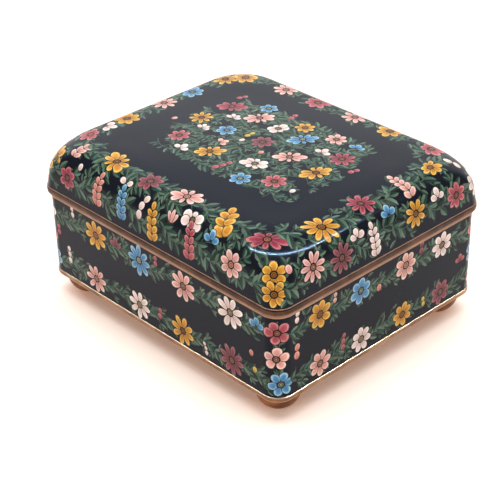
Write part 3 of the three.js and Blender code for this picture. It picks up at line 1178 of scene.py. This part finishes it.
BACK_LID = [
    ("bloom", "gold", 46.6, 20.0, 5.0, 7), ("bloom", "pink", 26.7, 21.6, 5.0, 8),
    ("bloom", "rose", 10.4, 21.4, 5.0, 7), ("bloom", "pink", -7.4, 20.8, 4.9, 8),
    ("bloom", "gold", -23.8, 20.4, 5.0, 7), ("bloom", "rose", -43.0, 19.0, 4.9, 6),
] + [("bloom", kind, along, 7.8, 4.8, count) for kind, along, count in (
    ("blue", -50.0, 7), ("white", -32.5, 8), ("gold", -15.5, 7), ("crimson", 1.5, 8), ("pink", 18.5, 7),
    ("plum", 35.5, 8), ("white", 51.0, 6))] + [
    ("half", kind, along, 12.6, 3.6, 3) for kind, along in (
        ("rose", -41.0), ("blue", -24.0), ("white", -6.5), ("coral", 10.0), ("gold", 27.0), ("blue", 43.0))]
LEFT_LID = [
    ("bloom", "rose", 34.0, 19.6, 4.8, 7), ("half", "white", 25.6, 20.8, 4.0, 3),
    ("bloom", "gold", 16.6, 21.6, 4.9, 7), ("bloom", "pink", -1.3, 21.2, 4.9, 8),
    ("bloom", "blue", -14.8, 21.6, 4.7, 7), ("bloom", "gold", -31.5, 20.2, 5.0, 8),
    ("bloom", "pink", -24.0, 8.0, 4.8, 7), ("bloom", "rose", -7.0, 7.6, 4.8, 8),
    ("bloom", "white", 10.0, 8.0, 4.8, 7), ("bloom", "blue", 27.0, 7.8, 4.8, 8),
    ("bloom", "coral", -40.5, 7.6, 4.4, 6), ("half", "blue", -15.5, 11.6, 3.6, 3),
    ("half", "white", 1.5, 11.6, 3.6, 3), ("half", "gold", 19.0, 11.6, 3.6, 3),
    ("beads", "pink", 39.0, 8.0, 2.6, 3),
]
LID_CORNERS = [[("bloom", "gold", 10.6, 4.3, 6), ("bloom", "gold", 4.9, 4.6, 7)],
               [("bloom", "white", 7.4, 5.0, 7)], [("bloom", "rose", 7.4, 5.0, 8)],
               [("bloom", "gold", 7.6, 4.8, 6)]]
PANEL = [
    ("wide", "crimson", -30, 16, 5.2, 8), ("beads", "rose", -34, 22, 2.0, 2),
    ("bloom", "blue", -19, 24, 3.6, 6), ("bloom", "gold", -31, 2, 4.4, 8),
    ("half", "white", -24.5, -4, 3.4, 4), ("half", "white", -22.5, 9, 3.6, 4),
    ("wide", "pink", -15.5, 16, 5.2, 9), ("bloom", "blue", -16.6, 1, 3.8, 6),
    ("beads", "yellow", -8.5, 2, 2.0, 2), ("beads", "white", -7, -1.8, 2.0, 1),
    ("bloom", "plum", -1, 3.4, 4.2, 7), ("bloom", "rose", -26, -13, 4.0, 7),
    ("half", "white", -18.6, -19.6, 3.6, 3), ("wide", "gold", -9, -14, 4.8, 8),
    ("half", "pink", -11.5, -7, 3.2, 3), ("wide", "white", 8.6, -9.5, 4.6, 7),
    ("beads", "rose", 0, -21.5, 2.4, 3), ("bloom", "blue", 12.5, -20, 3.9, 6),
    ("bloom", "rose", 22, -13.5, 4.4, 7), ("beads", "white", 31, -15, 2.2, 1),
    ("wide", "white", -4.6, 14.6, 4.0, 6), ("bloom", "gold", 1.6, 21.8, 3.8, 7),
    ("beads", "rose", -7.4, 22.6, 2.2, 2), ("wide", "blue", 7.4, 14.6, 4.9, 8),
    ("bloom", "pink", 15.6, 23, 4.0, 7), ("half", "white", 19, 11.6, 3.6, 3),
    ("wide", "pink", 13.6, 2, 5.0, 8), ("wide", "gold", 27.6, 0.4, 5.2, 8),
    ("bloom", "crimson", 27, 13.6, 4.8, 8), ("half", "blue", 25, 22.6, 3.4, 3),
    ("beads", "rose", 35, 8, 2.0, 2), ("beads", "pink", -38, -6, 2.0, 1),
    ("beads", "coral", 4.4, -3.6, 2.0, 1),
]

print("lid flowers", len(FRONT_LID + RIGHT_LID + BACK_LID + LEFT_LID + PANEL))

# %% Draw the lid's pattern
lid_pattern = Pattern()
for number, (side, flowers) in enumerate((("front", FRONT_LID), ("right", RIGHT_LID),
                                          ("back", BACK_LID), ("left", LEFT_LID))):
    half = 57.6 if number % 2 == 0 else 47.6
    inner = 49.5 if number % 2 == 0 else 39.5
    low_path = wavy(-half, half, 7.6, 2.2, 17.2, number * 4.0)
    high_path = wavy(-inner, inner, 19.6, 2.4, 17.2, 5.0 + number * 3.0)
    garland(lid_pattern, lid_chart, side, low_path, 0.9, 15.5, 4.7, 2.4, 0.7)
    garland(lid_pattern, lid_chart, side, high_path, 13.0, 26.4, 4.5, 2.4, 0.7)
    for what, kind, along, up, size, count in flowers:
        plant(lid_pattern, spot_on(lid_chart, lid_chart.spot_at(side, along, up)), what, kind, size, count)
    for what, kind, up, size, count in LID_CORNERS[number]:
        corner_spot = spot_on(lid_chart, lid_chart.chart_of(number, 0.985, lid_chart.edge - up))
        plant(lid_pattern, corner_spot, what, kind, size, count)


class Panel:
    """The lid's chart, walked by plan instead of by side."""

    lift = staticmethod(lid_chart.lift)

    @staticmethod
    def spot_at(side, x, y):
        return x, y


for row, level in enumerate((-20.5, -13.5, -6.0, 1.8, 9.6, 17.0, 23.4)):
    first, last = (-35.5, 34) if abs(level - 2) < 14 else (-30, 31)
    path = [(x, min(max(y, -22), 25)) for x, y in wavy(first, last, level, 2.0, 19.0, row * 6.3)]
    garland(lid_pattern, Panel, "front", path, -24.5, 26.5, 4.0, 2.1, 0.75)
for what, kind, x, y, size, count in PANEL:
    tilt = chance.uniform(-0.5, 0.5) + (0.8 if what == "wide" else 0)
    plant(lid_pattern, spot_on(lid_chart, (x, y), (0, 1)).turned(tilt), what, kind, size, count)
print("lid cells", len(lid_pattern.cells))

# %% [markdown]
# ## From cells to one skin
#
# The finished enamel is one smooth surface, so the cells can't be separate lumps. All outlines
# are cut into the flat chart together by Blender's constrained triangulation, one small tile
# of the chart at a time because it slows down on big drawings, and every triangle asks which cell
# is topmost there. Extra form lines are cut in where the metal bends, so the lifted skin
# follows it. This is made in mesh code instead of by hand tools: thousands of flush cells that
# share every edge can't be inset one by one.

# %% Cut the cells into the chart
def cut_tile(box, lows, highs, outlines, lines, line_lows, line_highs):
    """Points and triangles of one tile, each triangle with the number of its topmost cell."""
    x0, y0, x1, y1 = box

    def meets(low, high):
        return np.nonzero((high[:, 0] > x0) & (low[:, 0] < x1) & (high[:, 1] > y0) & (low[:, 1] < y1))[0]

    points = [Vector(p) for p in ((x0, y0), (x1, y0), (x1, y1), (x0, y1))]
    faces, edges = [[0, 1, 2, 3]], []
    cells = meets(lows, highs)
    for cell in cells:
        first = len(points)
        points += outlines[cell]
        faces.append(list(range(first, len(points))))
    for line in meets(line_lows, line_highs):
        edges.append((len(points), len(points) + 1))
        points += lines[line]
    flat, _, triangles, _, _, origins = delaunay_2d_cdt(points, edges, faces, 0, 1e-5, True)
    kept, owners = [], []
    for triangle, origin in zip(triangles, origins):
        if 0 in origin:
            top = max(origin)
            kept.append(triangle)
            owners.append(int(cells[top - 1]) if top else -1)
    return only_seen(box, flat, kept, owners, [points[i] for edge in edges for i in edge])


print("first cut ready")

# %% Keep only the lines that show
def only_seen(box, flat, triangles, owners, form_ends):
    """The same tile cut again along the lines that show, without what later cells have covered.
    Triangles with no such line between them are one cell, and its edges tell which."""
    side_of, near = {}, {}
    for (a, b, c), owner in zip(triangles, owners):
        side_of[a, b] = side_of[b, c] = side_of[c, a] = owner
    for (a, b), owner in side_of.items():
        if side_of.get((b, a), owner) != owner:
            near.setdefault(a, []).append(b)

    def straight(point):
        """Whether only one straight line runs through this point."""
        if len(near[point]) != 2:
            return False
        one, two = (flat[other] - flat[point] for other in near[point])
        return one.dot(two) < 0 and abs(one.cross(two)) < 0.002 * (one - two).length

    x0, y0, x1, y1 = box
    points = [Vector(p) for p in ((x0, y0), (x1, y0), (x1, y1), (x0, y1))]
    number, edges, sides = {}, [], []
    for start in near:
        if straight(start):
            continue
        for first in near[start]:
            before, last = start, first
            while straight(last):
                before, last = last, next(other for other in near[last] if other != before)
            if start < last:
                for end in (start, last):
                    if end not in number:
                        number[end] = len(points)
                        points.append(flat[end])
                edges.append((number[start], number[last]))
                sides.append((flat[last] - flat[start], side_of[start, first], side_of[first, start]))
    for i in range(0, len(form_ends), 2):
        edges.append((len(points), len(points) + 1))
        points += form_ends[i:i + 2]
    again, lines, pieces, _, sources, origins = delaunay_2d_cdt(points, edges, [[0, 1, 2, 3]], 0, 1e-5, True)
    pieces = [piece for piece, origin in zip(pieces, origins) if 0 in origin]
    if not sides:
        return again, pieces, [owners[0]] * len(pieces)
    border, beside = {}, {}
    for (a, b), source in zip(lines, sources):
        seen = [line for line in source if line < len(sides)]
        if seen:
            way, left, right = sides[seen[0]]
            run = again[b] - again[a]
            if run.dot(way) < 0:
                left, right = right, left
            border[a, b], border[b, a] = (left, run.length), (right, run.length)
    for i, piece in enumerate(pieces):
        for line in zip(piece, piece[1:] + piece[:1]):
            beside[line] = i
    found = [None] * len(pieces)
    for first in range(len(pieces)):
        if found[first] is not None:
            continue
        group, votes, found[first] = [first], {}, -1
        for i in group:
            for line in zip(pieces[i], pieces[i][1:] + pieces[i][:1]):
                if line in border:
                    owner, size = border[line]
                    votes[owner] = votes.get(owner, 0) + size
                    continue
                other = beside.get(line[::-1])
                if other is not None and found[other] is None:
                    found[other] = -1
                    group.append(other)
        if votes:
            winner = max(votes, key=votes.get)
            for i in group:
                found[i] = winner
    return again, pieces, found


print("second cut ready")

# %% Cut a whole chart, tile by tile
def cut_chart(pattern, tiles, form_lines):
    outlines = [[Vector(p) for p in cell[0]] for cell in pattern.cells]
    lows = np.array([[min(p[0] for p in c[0]), min(p[1] for p in c[0])] for c in pattern.cells])
    highs = np.array([[max(p[0] for p in c[0]), max(p[1] for p in c[0])] for c in pattern.cells])
    lines = [(Vector(a), Vector(b)) for a, b in form_lines]
    ends = np.array([[*a, *b] for a, b in form_lines])
    line_lows, line_highs = np.minimum(ends[:, :2], ends[:, 2:]), np.maximum(ends[:, :2], ends[:, 2:])
    points, triangles, owners, seen = [], [], [], {}
    for box in tiles:
        flat, kept, cells = cut_tile(box, lows, highs, outlines, lines, line_lows - 1e-6, line_highs + 1e-6)
        number = []
        for p in flat:
            key = (round(p.x * 2000), round(p.y * 2000))
            if key not in seen:
                seen[key] = len(points)
                points.append((p.x, p.y))
            number.append(seen[key])
        for triangle, cell in zip(kept, cells):
            corners = [number[i] for i in triangle]
            if len(set(corners)) == 3:
                triangles.append(corners)
                owners.append(cell)
    return np.array(points), np.array(triangles), np.array(owners)


def grid(x0, y0, x1, y1, across, up):
    xs = [x0 + (x1 - x0) * i / across for i in range(across + 1)]
    ys = [y0 + (y1 - y0) * i / up for i in range(up + 1)]
    return [(a, c, b, d) for a, b in zip(xs, xs[1:]) for c, d in zip(ys, ys[1:])]


print("tiles ready")

# %% Form lines
def body_form_lines():
    """Upright lines every few degrees round each corner."""
    lines = []
    for quarter in range(-1, 5):
        middle = (quarter + 0.5) * sum(wall.quarters) + (wall.quarters[0] - wall.quarters[1]) / 2 * (
            1 if quarter % 2 == 0 else -1)
        for i in range(-6, 7):
            u = middle + wall.bend / 12 * i
            if -wall.quarters[0] < u < wall.around - wall.quarters[0]:
                lines.append(((u, BAND_TOP), (u, BODY_TOP)))
    return lines


def lid_form_lines():
    """Height lines over the shoulder and lines that fan out round each corner."""
    lines, outline = [], []
    ups = [0.0, 2.4, UPRIGHT] + [UPRIGHT + (lid_chart.edge - UPRIGHT) * i / 13 for i in range(1, 14)]
    shares = {}
    for up in ups:
        _, _, corner, flat = lid_chart.loop(up)
        for side in range(4):
            straight, corner = float(flat[side % 2]), float(corner)
            half = straight + corner * math.pi / 4
            bent = [(straight + corner * math.pi / 4 * i / 6) / half for i in range(7)]
            flat_shares = [bent[0] * i / 12 for i in range(12)]
            shares[up, side] = flat_shares + bent
    for index, up in enumerate(ups):
        for side in range(4):
            for way in (-1, 1):
                here = [lid_chart.chart_of(side, way * s, lid_chart.edge - up) for s in shares[up, side]]
                lines += zip(here, here[1:])
                if index == 0:
                    outline += zip(here, here[1:])
                if index + 1 < len(ups):
                    above = [lid_chart.chart_of(side, way * s, lid_chart.edge - ups[index + 1])
                             for s in shares[ups[index + 1], side]]
                    lines += list(zip(here[12:], above[12:]))
    for side in range(4):
        for i in range(-6, 7):
            angle = math.pi / 4 + math.pi / 4 * i / 6
            sx, sy = (1 if side in (0, 1) else -1), (-1 if side in (0, 3) else 1)
            cx, cy = lid_chart.middle[0], lid_chart.middle[1]
            one = (sx * (cx + TOP_CORNER * math.cos(angle)), sy * (cy + TOP_CORNER * math.sin(angle)))
            two = (sx * (cx + 9 * math.cos(angle)), sy * (cy + 9 * math.sin(angle)))
            lines.append((one, two))
    for inside in (1.5, 3.5, 6.5, 10.0):
        cx, cy, r = lid_chart.middle[0], lid_chart.middle[1], TOP_CORNER - inside
        ring = []
        for quarter, (sx, sy) in enumerate(((1, 1), (-1, 1), (-1, -1), (1, -1))):
            for i in range(7):
                angle = (quarter + i / 6) * math.pi / 2
                ring.append((sx * cx + r * math.cos(angle), sy * cy + r * math.sin(angle)))
        lines += zip(ring, ring[1:] + ring[:1])
    return lines, outline


def inside_outline(points, outline):
    """Which points lie inside a closed outline of chart segments."""
    crossings = np.zeros(len(points), int)
    x, y = points[:, 0], points[:, 1]
    for (ax, ay), (bx, by) in outline:
        if ay == by:
            continue
        between = (ay > y) != (by > y)
        at = ax + (y - ay) / (by - ay) * (bx - ax)
        crossings += between & (x < at)
    return crossings % 2 == 1


print("form lines ready")

# %% Cut both charts
q = wall.quarters[0]
strips = [-q, q, q + 2 * wall.quarters[1], 3 * q + 2 * wall.quarters[1], wall.around - q]
body_tiles = [tile for a, b, count in zip(strips, strips[1:], (11, 9, 11, 9))
              for tile in grid(a, BAND_TOP, b, BODY_TOP, count, 3)]
body_cut = cut_chart(body_pattern, body_tiles, body_form_lines())
print("body", len(body_cut[0]), "points", len(body_cut[1]), "triangles")

lid_lines, lid_outline = lid_form_lines()
reach_x, reach_y = (m + TOP_CORNER + lid_chart.edge for m in lid_chart.middle)
lid_tiles = grid(-reach_x - 0.5, -reach_y - 0.5, reach_x + 0.5, reach_y + 0.5, 22, 19)
lid_cut = cut_chart(lid_pattern, lid_tiles, lid_lines)
centres = lid_cut[0][lid_cut[1]].mean(axis=1)
keep = inside_outline(centres, lid_outline)
lid_cut = lid_cut[0], lid_cut[1][keep], lid_cut[2][keep]
print("lid", len(lid_cut[0]), "points", len(lid_cut[1]), "triangles")

# %% [markdown]
# ## Enamel, wire and lining
#
# All the glass is one material that takes its colour from what was painted on the cells. Under
# the polish it is still a melted material: its colour drifts, it holds tiny pits, and years of
# wiping have left hair scratches in the shine. The wire is brass, gone dark. The inside and the
# underside, which carry plain counter-enamel so that the copper doesn't warp in the kiln, are a
# mottled blue-black.

# %% Enamel
def polished_enamel():
    enamel = Finish("polished_enamel", IOR=1.5, Specular_IOR_Level=0.085,
                    Specular_Tint=(0.60, 0.76, 1.0, 1.0))
    painted = enamel.node("Attribute", {"attribute_name": "glaze"})
    drift = enamel.noise(9.0, 4, 0.55)
    grains = enamel.noise(0.55, 2, 0.6)
    pits = enamel.step(enamel.noise(0.9, 3, 0.7), 0.70, 0.80)
    tone = enamel.mix(drift * 0.25, painted, chip("181b22"))
    tone = enamel.mix(grains * 0.16, tone, chip("2a2a2e"), "ADD")
    tone = enamel.mix(pits * 0.5, tone, chip("0c0c10"))
    turned = enamel.node("Mapping", None, {0: enamel.place, 2: (0.0, 0.0, 0.7), 3: (1.0, 26.0, 3.0)})
    crossed = enamel.node("Mapping", None, {0: enamel.place, 2: (0.0, 0.0, -0.9), 3: (24.0, 1.0, 3.0)})
    hairs = enamel.step(enamel.noise(9.0, 2, 0.5, turned), 0.655, 0.69)
    more_hairs = enamel.step(enamel.noise(11.0, 2, 0.5, crossed), 0.66, 0.70)
    worn = hairs + more_hairs
    return enamel.feed(Base_Color=tone, Roughness=0.075 + drift * 0.06 + worn * 0.16 + pits * 0.3,
                       Normal=enamel.bump(drift * 1.5 + grains * 0.12 - pits * 0.6 - worn * 0.12, 0.03, 0.35))


def dark_brass_wire():
    wire = Finish("dark_brass_wire", Metallic=0.9)
    patches = wire.noise(2.4, 3, 0.6)
    fine = wire.noise(0.3, 2, 0.5)
    tone = wire.mix(wire.step(patches, 0.35, 0.65), chip("18110d"), chip("33261a"))
    return wire.feed(Base_Color=tone, Roughness=0.30 + fine * 0.2, Normal=wire.bump(fine, 0.01, 0.3))


def counter_enamel():
    lining = Finish("counter_enamel", IOR=1.5)
    clouds = lining.noise(11.0, 5, 0.6)
    specks = lining.step(lining.noise(1.1, 3, 0.7), 0.62, 0.70)
    tone = lining.mix(lining.step(clouds, 0.3, 0.7), chip("12161f"), chip("1d2836"))
    tone = lining.mix(specks * 0.6, tone, chip("33455a"))
    return lining.feed(Base_Color=tone, Roughness=0.16 + clouds * 0.14 + specks * 0.1,
                       Normal=lining.bump(clouds + specks * 0.1, 0.08, 0.5))


SKIN_FINISHES = [polished_enamel(), dark_brass_wire(), counter_enamel()]
print("enamel, wire and lining made")

# %% [markdown]
# ## Lifting the skin onto the metal
#
# Each chart point is lifted to its place on the box and keeps its true surface direction,
# so the gloss runs smoothly over all the small triangles. The wall's thickness and the lining
# are added by walking the skin's open edge inwards, row by row, to a closed floor.

# %% Lift a cut chart
def facing(chart, points):
    eps = 0.02
    du = chart.lift(points + (eps, 0)) - chart.lift(points - (eps, 0))
    dv = chart.lift(points + (0, eps)) - chart.lift(points - (0, eps))
    normal = np.cross(du, dv)
    return normal / np.linalg.norm(normal, axis=1)[:, None]


def lift_skin(name, chart, cut, pattern, bake_place):
    points, triangles, owners = cut
    lifted = chart.lift(points)
    mesh = bpy.data.meshes.new(name)
    mesh.from_pydata((lifted * MM).tolist(), [], triangles.tolist())
    mesh.materials.clear()
    for finish in SKIN_FINISHES:
        mesh.materials.append(finish)
    fills = [0 if owner < 0 or pattern.cells[owner][1] == "glass" else 1 for owner in owners]
    mesh.polygons.foreach_set("material_index", fills)
    mesh.polygons.foreach_set("use_smooth", [True] * len(triangles))
    colours = np.ones((len(triangles) * 3, 4), np.float32)
    corner = 0
    for triangle, owner in zip(triangles, owners):
        for point in triangle:
            if owner < 0:
                colour = GROUND
            else:
                _, fill, tint, spot = pattern.cells[owner]
                colour = tint(*spot.local(*points[point])) if tint else WIRE_SHADE
            colours[corner, :3] = colour
            corner += 1
    mesh.color_attributes.new("glaze", "FLOAT_COLOR", "CORNER").data.foreach_set("color", colours.ravel())
    flat = points[triangles.ravel()]
    middle = np.repeat(points[triangles].mean(axis=1), 3, axis=0)
    mesh.uv_layers.new(name="OFBake").data.foreach_set(
        "uv", bake_place(flat, middle).astype(np.float32).ravel())
    mesh.attributes.new("chart", "FLOAT_VECTOR", "POINT").data.foreach_set(
        "vector", np.column_stack([points, np.zeros(len(points))]).astype(np.float32).ravel())
    mesh.attributes.new("facing", "FLOAT_VECTOR", "POINT").data.foreach_set(
        "vector", facing(chart, points).astype(np.float32).ravel())
    return mesh


print("lifting ready")

# %% Open edges and pinholes
def rim_loops(mesh):
    """The open edges of a skin, as closed loops of points."""
    following = {}
    for edge in mesh.edges:
        if edge.is_boundary:
            loop = edge.link_loops[0]
            following[loop.vert] = loop.link_loop_next.vert
    loops = []
    while following:
        first = here = next(iter(following))
        loop = []
        while here in following:
            loop.append(here)
            here = following.pop(here)
        loops.append(loop)
    return loops


def mend(mesh):
    """Closes the pinholes that the cutting left, with the colours of their neighbours."""
    gaps = [edge for edge in mesh.edges if edge.is_boundary]
    patches = bmesh.ops.holes_fill(mesh, edges=gaps, sides=7)["faces"]
    for patch in patches:
        patch.smooth = True
        for corner in patch.loops:
            for other in corner.vert.link_loops:
                if other.face not in patches:
                    corner.copy_from(other)
                    patch.material_index = other.face.material_index
                    break
    return len(patches)


print("mending ready")

# %% The lining
def line_with_rows(mesh, loop, rows, uv_of):
    """Walks an open edge through rows of places and closes the last row with a flat floor."""
    glaze = mesh.loops.layers.float_color["glaze"]
    bake = mesh.loops.layers.uv["OFBake"]
    dark = (*glass("151a24"), 1.0)
    previous, made, count = loop, [], len(loop)
    for row_number, places in enumerate(rows):
        current = [mesh.verts.new(p * MM) for p in places]
        for i in range(count):
            j = (i + 1) % count
            face = mesh.faces.new((previous[j], previous[i], current[i], current[j]))
            uvs = ((j, row_number), (i, row_number), (i, row_number + 1), (j, row_number + 1))
            for corner, key in zip(face.loops, uvs):
                corner[bake].uv = uv_of(*key)
            made.append(face)
        previous = current
    floor = mesh.faces.new(previous[::-1])
    for corner, i in zip(floor.loops, reversed(range(count))):
        corner[bake].uv = uv_of(i, len(rows))
    made.append(floor)
    for face in made:
        face.material_index = 2
        face.smooth = True
        for corner in face.loops:
            corner[glaze] = dark


print("lining ready")

# %% Finish a skin
def finish_skin(name, data, line, node):
    mesh = bmesh.new()
    mesh.from_mesh(data)
    bmesh.ops.remove_doubles(mesh, verts=mesh.verts, dist=1.2e-6)
    mended = mend(mesh)
    loops = rim_loops(mesh)
    skin_faces = set(mesh.faces)
    print(name, "open edges", [len(loop) for loop in loops], "pinholes closed", mended)
    line(mesh, loops)
    for edge in mesh.edges:
        faces = edge.link_faces
        if len(faces) == 2 and ((faces[0] in skin_faces) != (faces[1] in skin_faces) or (
                faces[0] not in skin_faces and faces[0].normal.angle(faces[1].normal, 0) > 0.6)):
            edge.smooth = False
    open_edges = sum(1 for e in mesh.edges if len(e.link_faces) != 2)
    mesh.to_mesh(data)
    mesh.free()
    skin_facing = np.zeros(len(data.vertices) * 3, np.float32)
    data.attributes["facing"].data.foreach_get("vector", skin_facing)
    skin_facing = skin_facing.reshape(-1, 3)
    normals = np.zeros((len(data.loops), 3), np.float32)
    for face in data.polygons:
        if face.material_index != 2:
            for loop in face.loop_indices:
                normals[loop] = skin_facing[data.loops[loop].vertex_index]
    data.normals_split_custom_set(normals.tolist())
    for spare in ("facing", "chart"):
        data.attributes.remove(data.attributes[spare])
    piece = bpy.data.objects.new(name, data)
    bpy.context.scene.collection.objects.link(piece)
    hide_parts(node)
    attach(piece, "root")
    triangles = sum(len(p.vertices) - 2 for p in data.polygons)
    print(name, "triangles", triangles, "edges that aren't shared by two faces", open_edges)
    return piece


print("finishing ready")

# %% The body's skin
STRIP, SHELF = 128.0, 31.4           # the bake map's width and the height each side takes on it


def body_bake(points, middle):
    """Where the wall's four sides lie on the bake's map: one above the other."""
    side = np.clip(np.searchsorted(strips, middle[:, 0]) - 1, 0, 3)
    starts = np.array(strips)[side]
    u = points[:, 0] - starts
    v = points[:, 1] - BAND_TOP + side * SHELF
    return np.stack([(u + 1.0) / STRIP, (v + 1.0) / STRIP], -1)


def walk_in(vertex, half_x, half_y, corner, inset, height):
    """The point of a wall's edge moved level inwards."""
    x, y = vertex.co.x / MM, vertex.co.y / MM
    keep_x, keep_y = half_x - corner, half_y - corner
    ox, oy = max(abs(x) - keep_x, 0), max(abs(y) - keep_y, 0)
    size = math.hypot(ox, oy) or 1
    radius = max(corner - inset, 0.6)
    in_x, in_y = half_x - inset - radius, half_y - inset - radius
    if ox and oy:
        return Vector((math.copysign(in_x + ox / size * radius, x),
                       math.copysign(in_y + oy / size * radius, y), height))
    if oy:
        return Vector((x / keep_x * in_x, math.copysign(in_y + radius, y), height))
    return Vector((math.copysign(in_x + radius, x), y / keep_y * in_y, height))


def line_body(mesh, loops):
    loops.sort(key=lambda loop: loop[0].co.z)
    floor_top = BODY_BOTTOM + BODY_WALL
    fillet = [(BODY_WALL + INNER_FILLET * (1 - math.cos(t)), floor_top + INNER_FILLET * (1 - math.sin(t)))
              for t in (math.pi / 2 * i / 6 for i in range(7))]
    inner = [(BODY_WALL, BODY_TOP), (BODY_WALL, 26.0)] + fillet
    under = [(1.05, BAND_TOP), (1.05, BODY_BOTTOM + 0.3), (1.35, BODY_BOTTOM), (9.0, BODY_BOTTOM)]
    for loop, rows, shelf in ((loops[0], under, 1), (loops[1], inner, 3)):
        places = [[walk_in(v, BODY_X, BODY_Y, BODY_CORNER, inset, z) for v in loop] for inset, z in rows]
        width = 30.0 / 140

        def uv_of(i, row):
            shrink = 1.0 - 0.05 * row
            x, y = loop[i].co.x / MM * shrink, loop[i].co.y / MM * shrink
            return ((98 + 15 + x * width) / STRIP, (1 + 15 + SHELF * shelf + y * width) / STRIP)
        line_with_rows(mesh, loop, places, uv_of)


body_enamel = finish_skin("body_enamel", lift_skin("body_enamel", wall, body_cut, body_pattern, body_bake),
                          line_body, "box_body")

# %% The lid's skin
SHEET = 147.0


def lid_bake(points, middle):
    return np.stack([(points[:, 0] + reach_x + 1) / SHEET, (points[:, 1] + reach_y + 1) / SHEET], -1)


def line_lid(mesh, loops):
    loop = loops[0]
    chart = mesh.verts.layers.float_vector["chart"]
    ups = [0.0, 2.5, UPRIGHT] + [UPRIGHT + (lid_chart.edge - UPRIGHT) * i / 7 for i in range(1, 8)]
    places, uvs = [], [[(v[chart].x, v[chart].y) for v in loop]]
    shares = []
    for v in loop:
        u, w = v[chart].x, v[chart].y
        over_x, over_y = abs(u) - lid_chart.middle[0], abs(w) - lid_chart.middle[1]
        long_side = over_y > 0 and (over_x <= 0 or math.atan2(over_x, over_y) <= math.pi / 4)
        side = (0 if w < 0 else 2) if long_side else (1 if u > 0 else 3)
        radius = math.hypot(max(over_x, 0), max(over_y, 0))
        own = lid_chart.middle[0 if long_side else 1]
        along = min(abs(u if long_side else w), own)
        if over_x > 0 and over_y > 0:
            angle = math.atan2(over_x, over_y)
            along += radius * (angle if long_side else math.pi / 2 - angle)
        sign = (1 if u > 0 else -1, 1 if w > 0 else -1, -1 if u > 0 else 1, -1 if w > 0 else 1)[side]
        shares.append((side, sign * along / (own + radius * math.pi / 4)))
    for up in ups:
        here = [lid_chart.chart_of(side, share, lid_chart.edge - up) for side, share in shares]
        outer = lid_chart.lift(np.array(here))
        normal = facing(lid_chart, np.array(here))
        inner = outer - normal * LID_WALL
        if up == 0.0:
            inner[:, 2] = RIM_TOP
        places.append([Vector(p) for p in inner])
        uvs.append(here)
    for inside in (6.0, 12.0):
        here = []
        for side, share in shares:
            radius = TOP_CORNER - inside
            own, other = lid_chart.middle if side % 2 == 0 else lid_chart.middle[::-1]
            span_here = abs(share) * (own + TOP_CORNER * math.pi / 4)
            turned = max(span_here - own, 0) / TOP_CORNER
            across = math.copysign(min(span_here, own) + radius * math.sin(turned), share)
            deep = other + radius * math.cos(turned)
            here.append(((across, -deep), (deep, across), (-across, deep), (-deep, -across))[side])
        outer = lid_chart.lift(np.array(here))
        places.append([Vector((p[0], p[1], p[2] - LID_WALL)) for p in outer])
        uvs.append(here)
    scale = 19.5 / 125

    def uv_of(i, row):
        u, w = uvs[row][i]
        return ((2 + reach_x * scale + u * scale) / SHEET, (126.5 + reach_y * scale + w * scale) / SHEET)
    line_with_rows(mesh, loop, places, uv_of)


lid_enamel = finish_skin("lid_enamel", lift_skin("lid_enamel", lid_chart, lid_cut, lid_pattern, lid_bake),
                         line_lid, "lid")
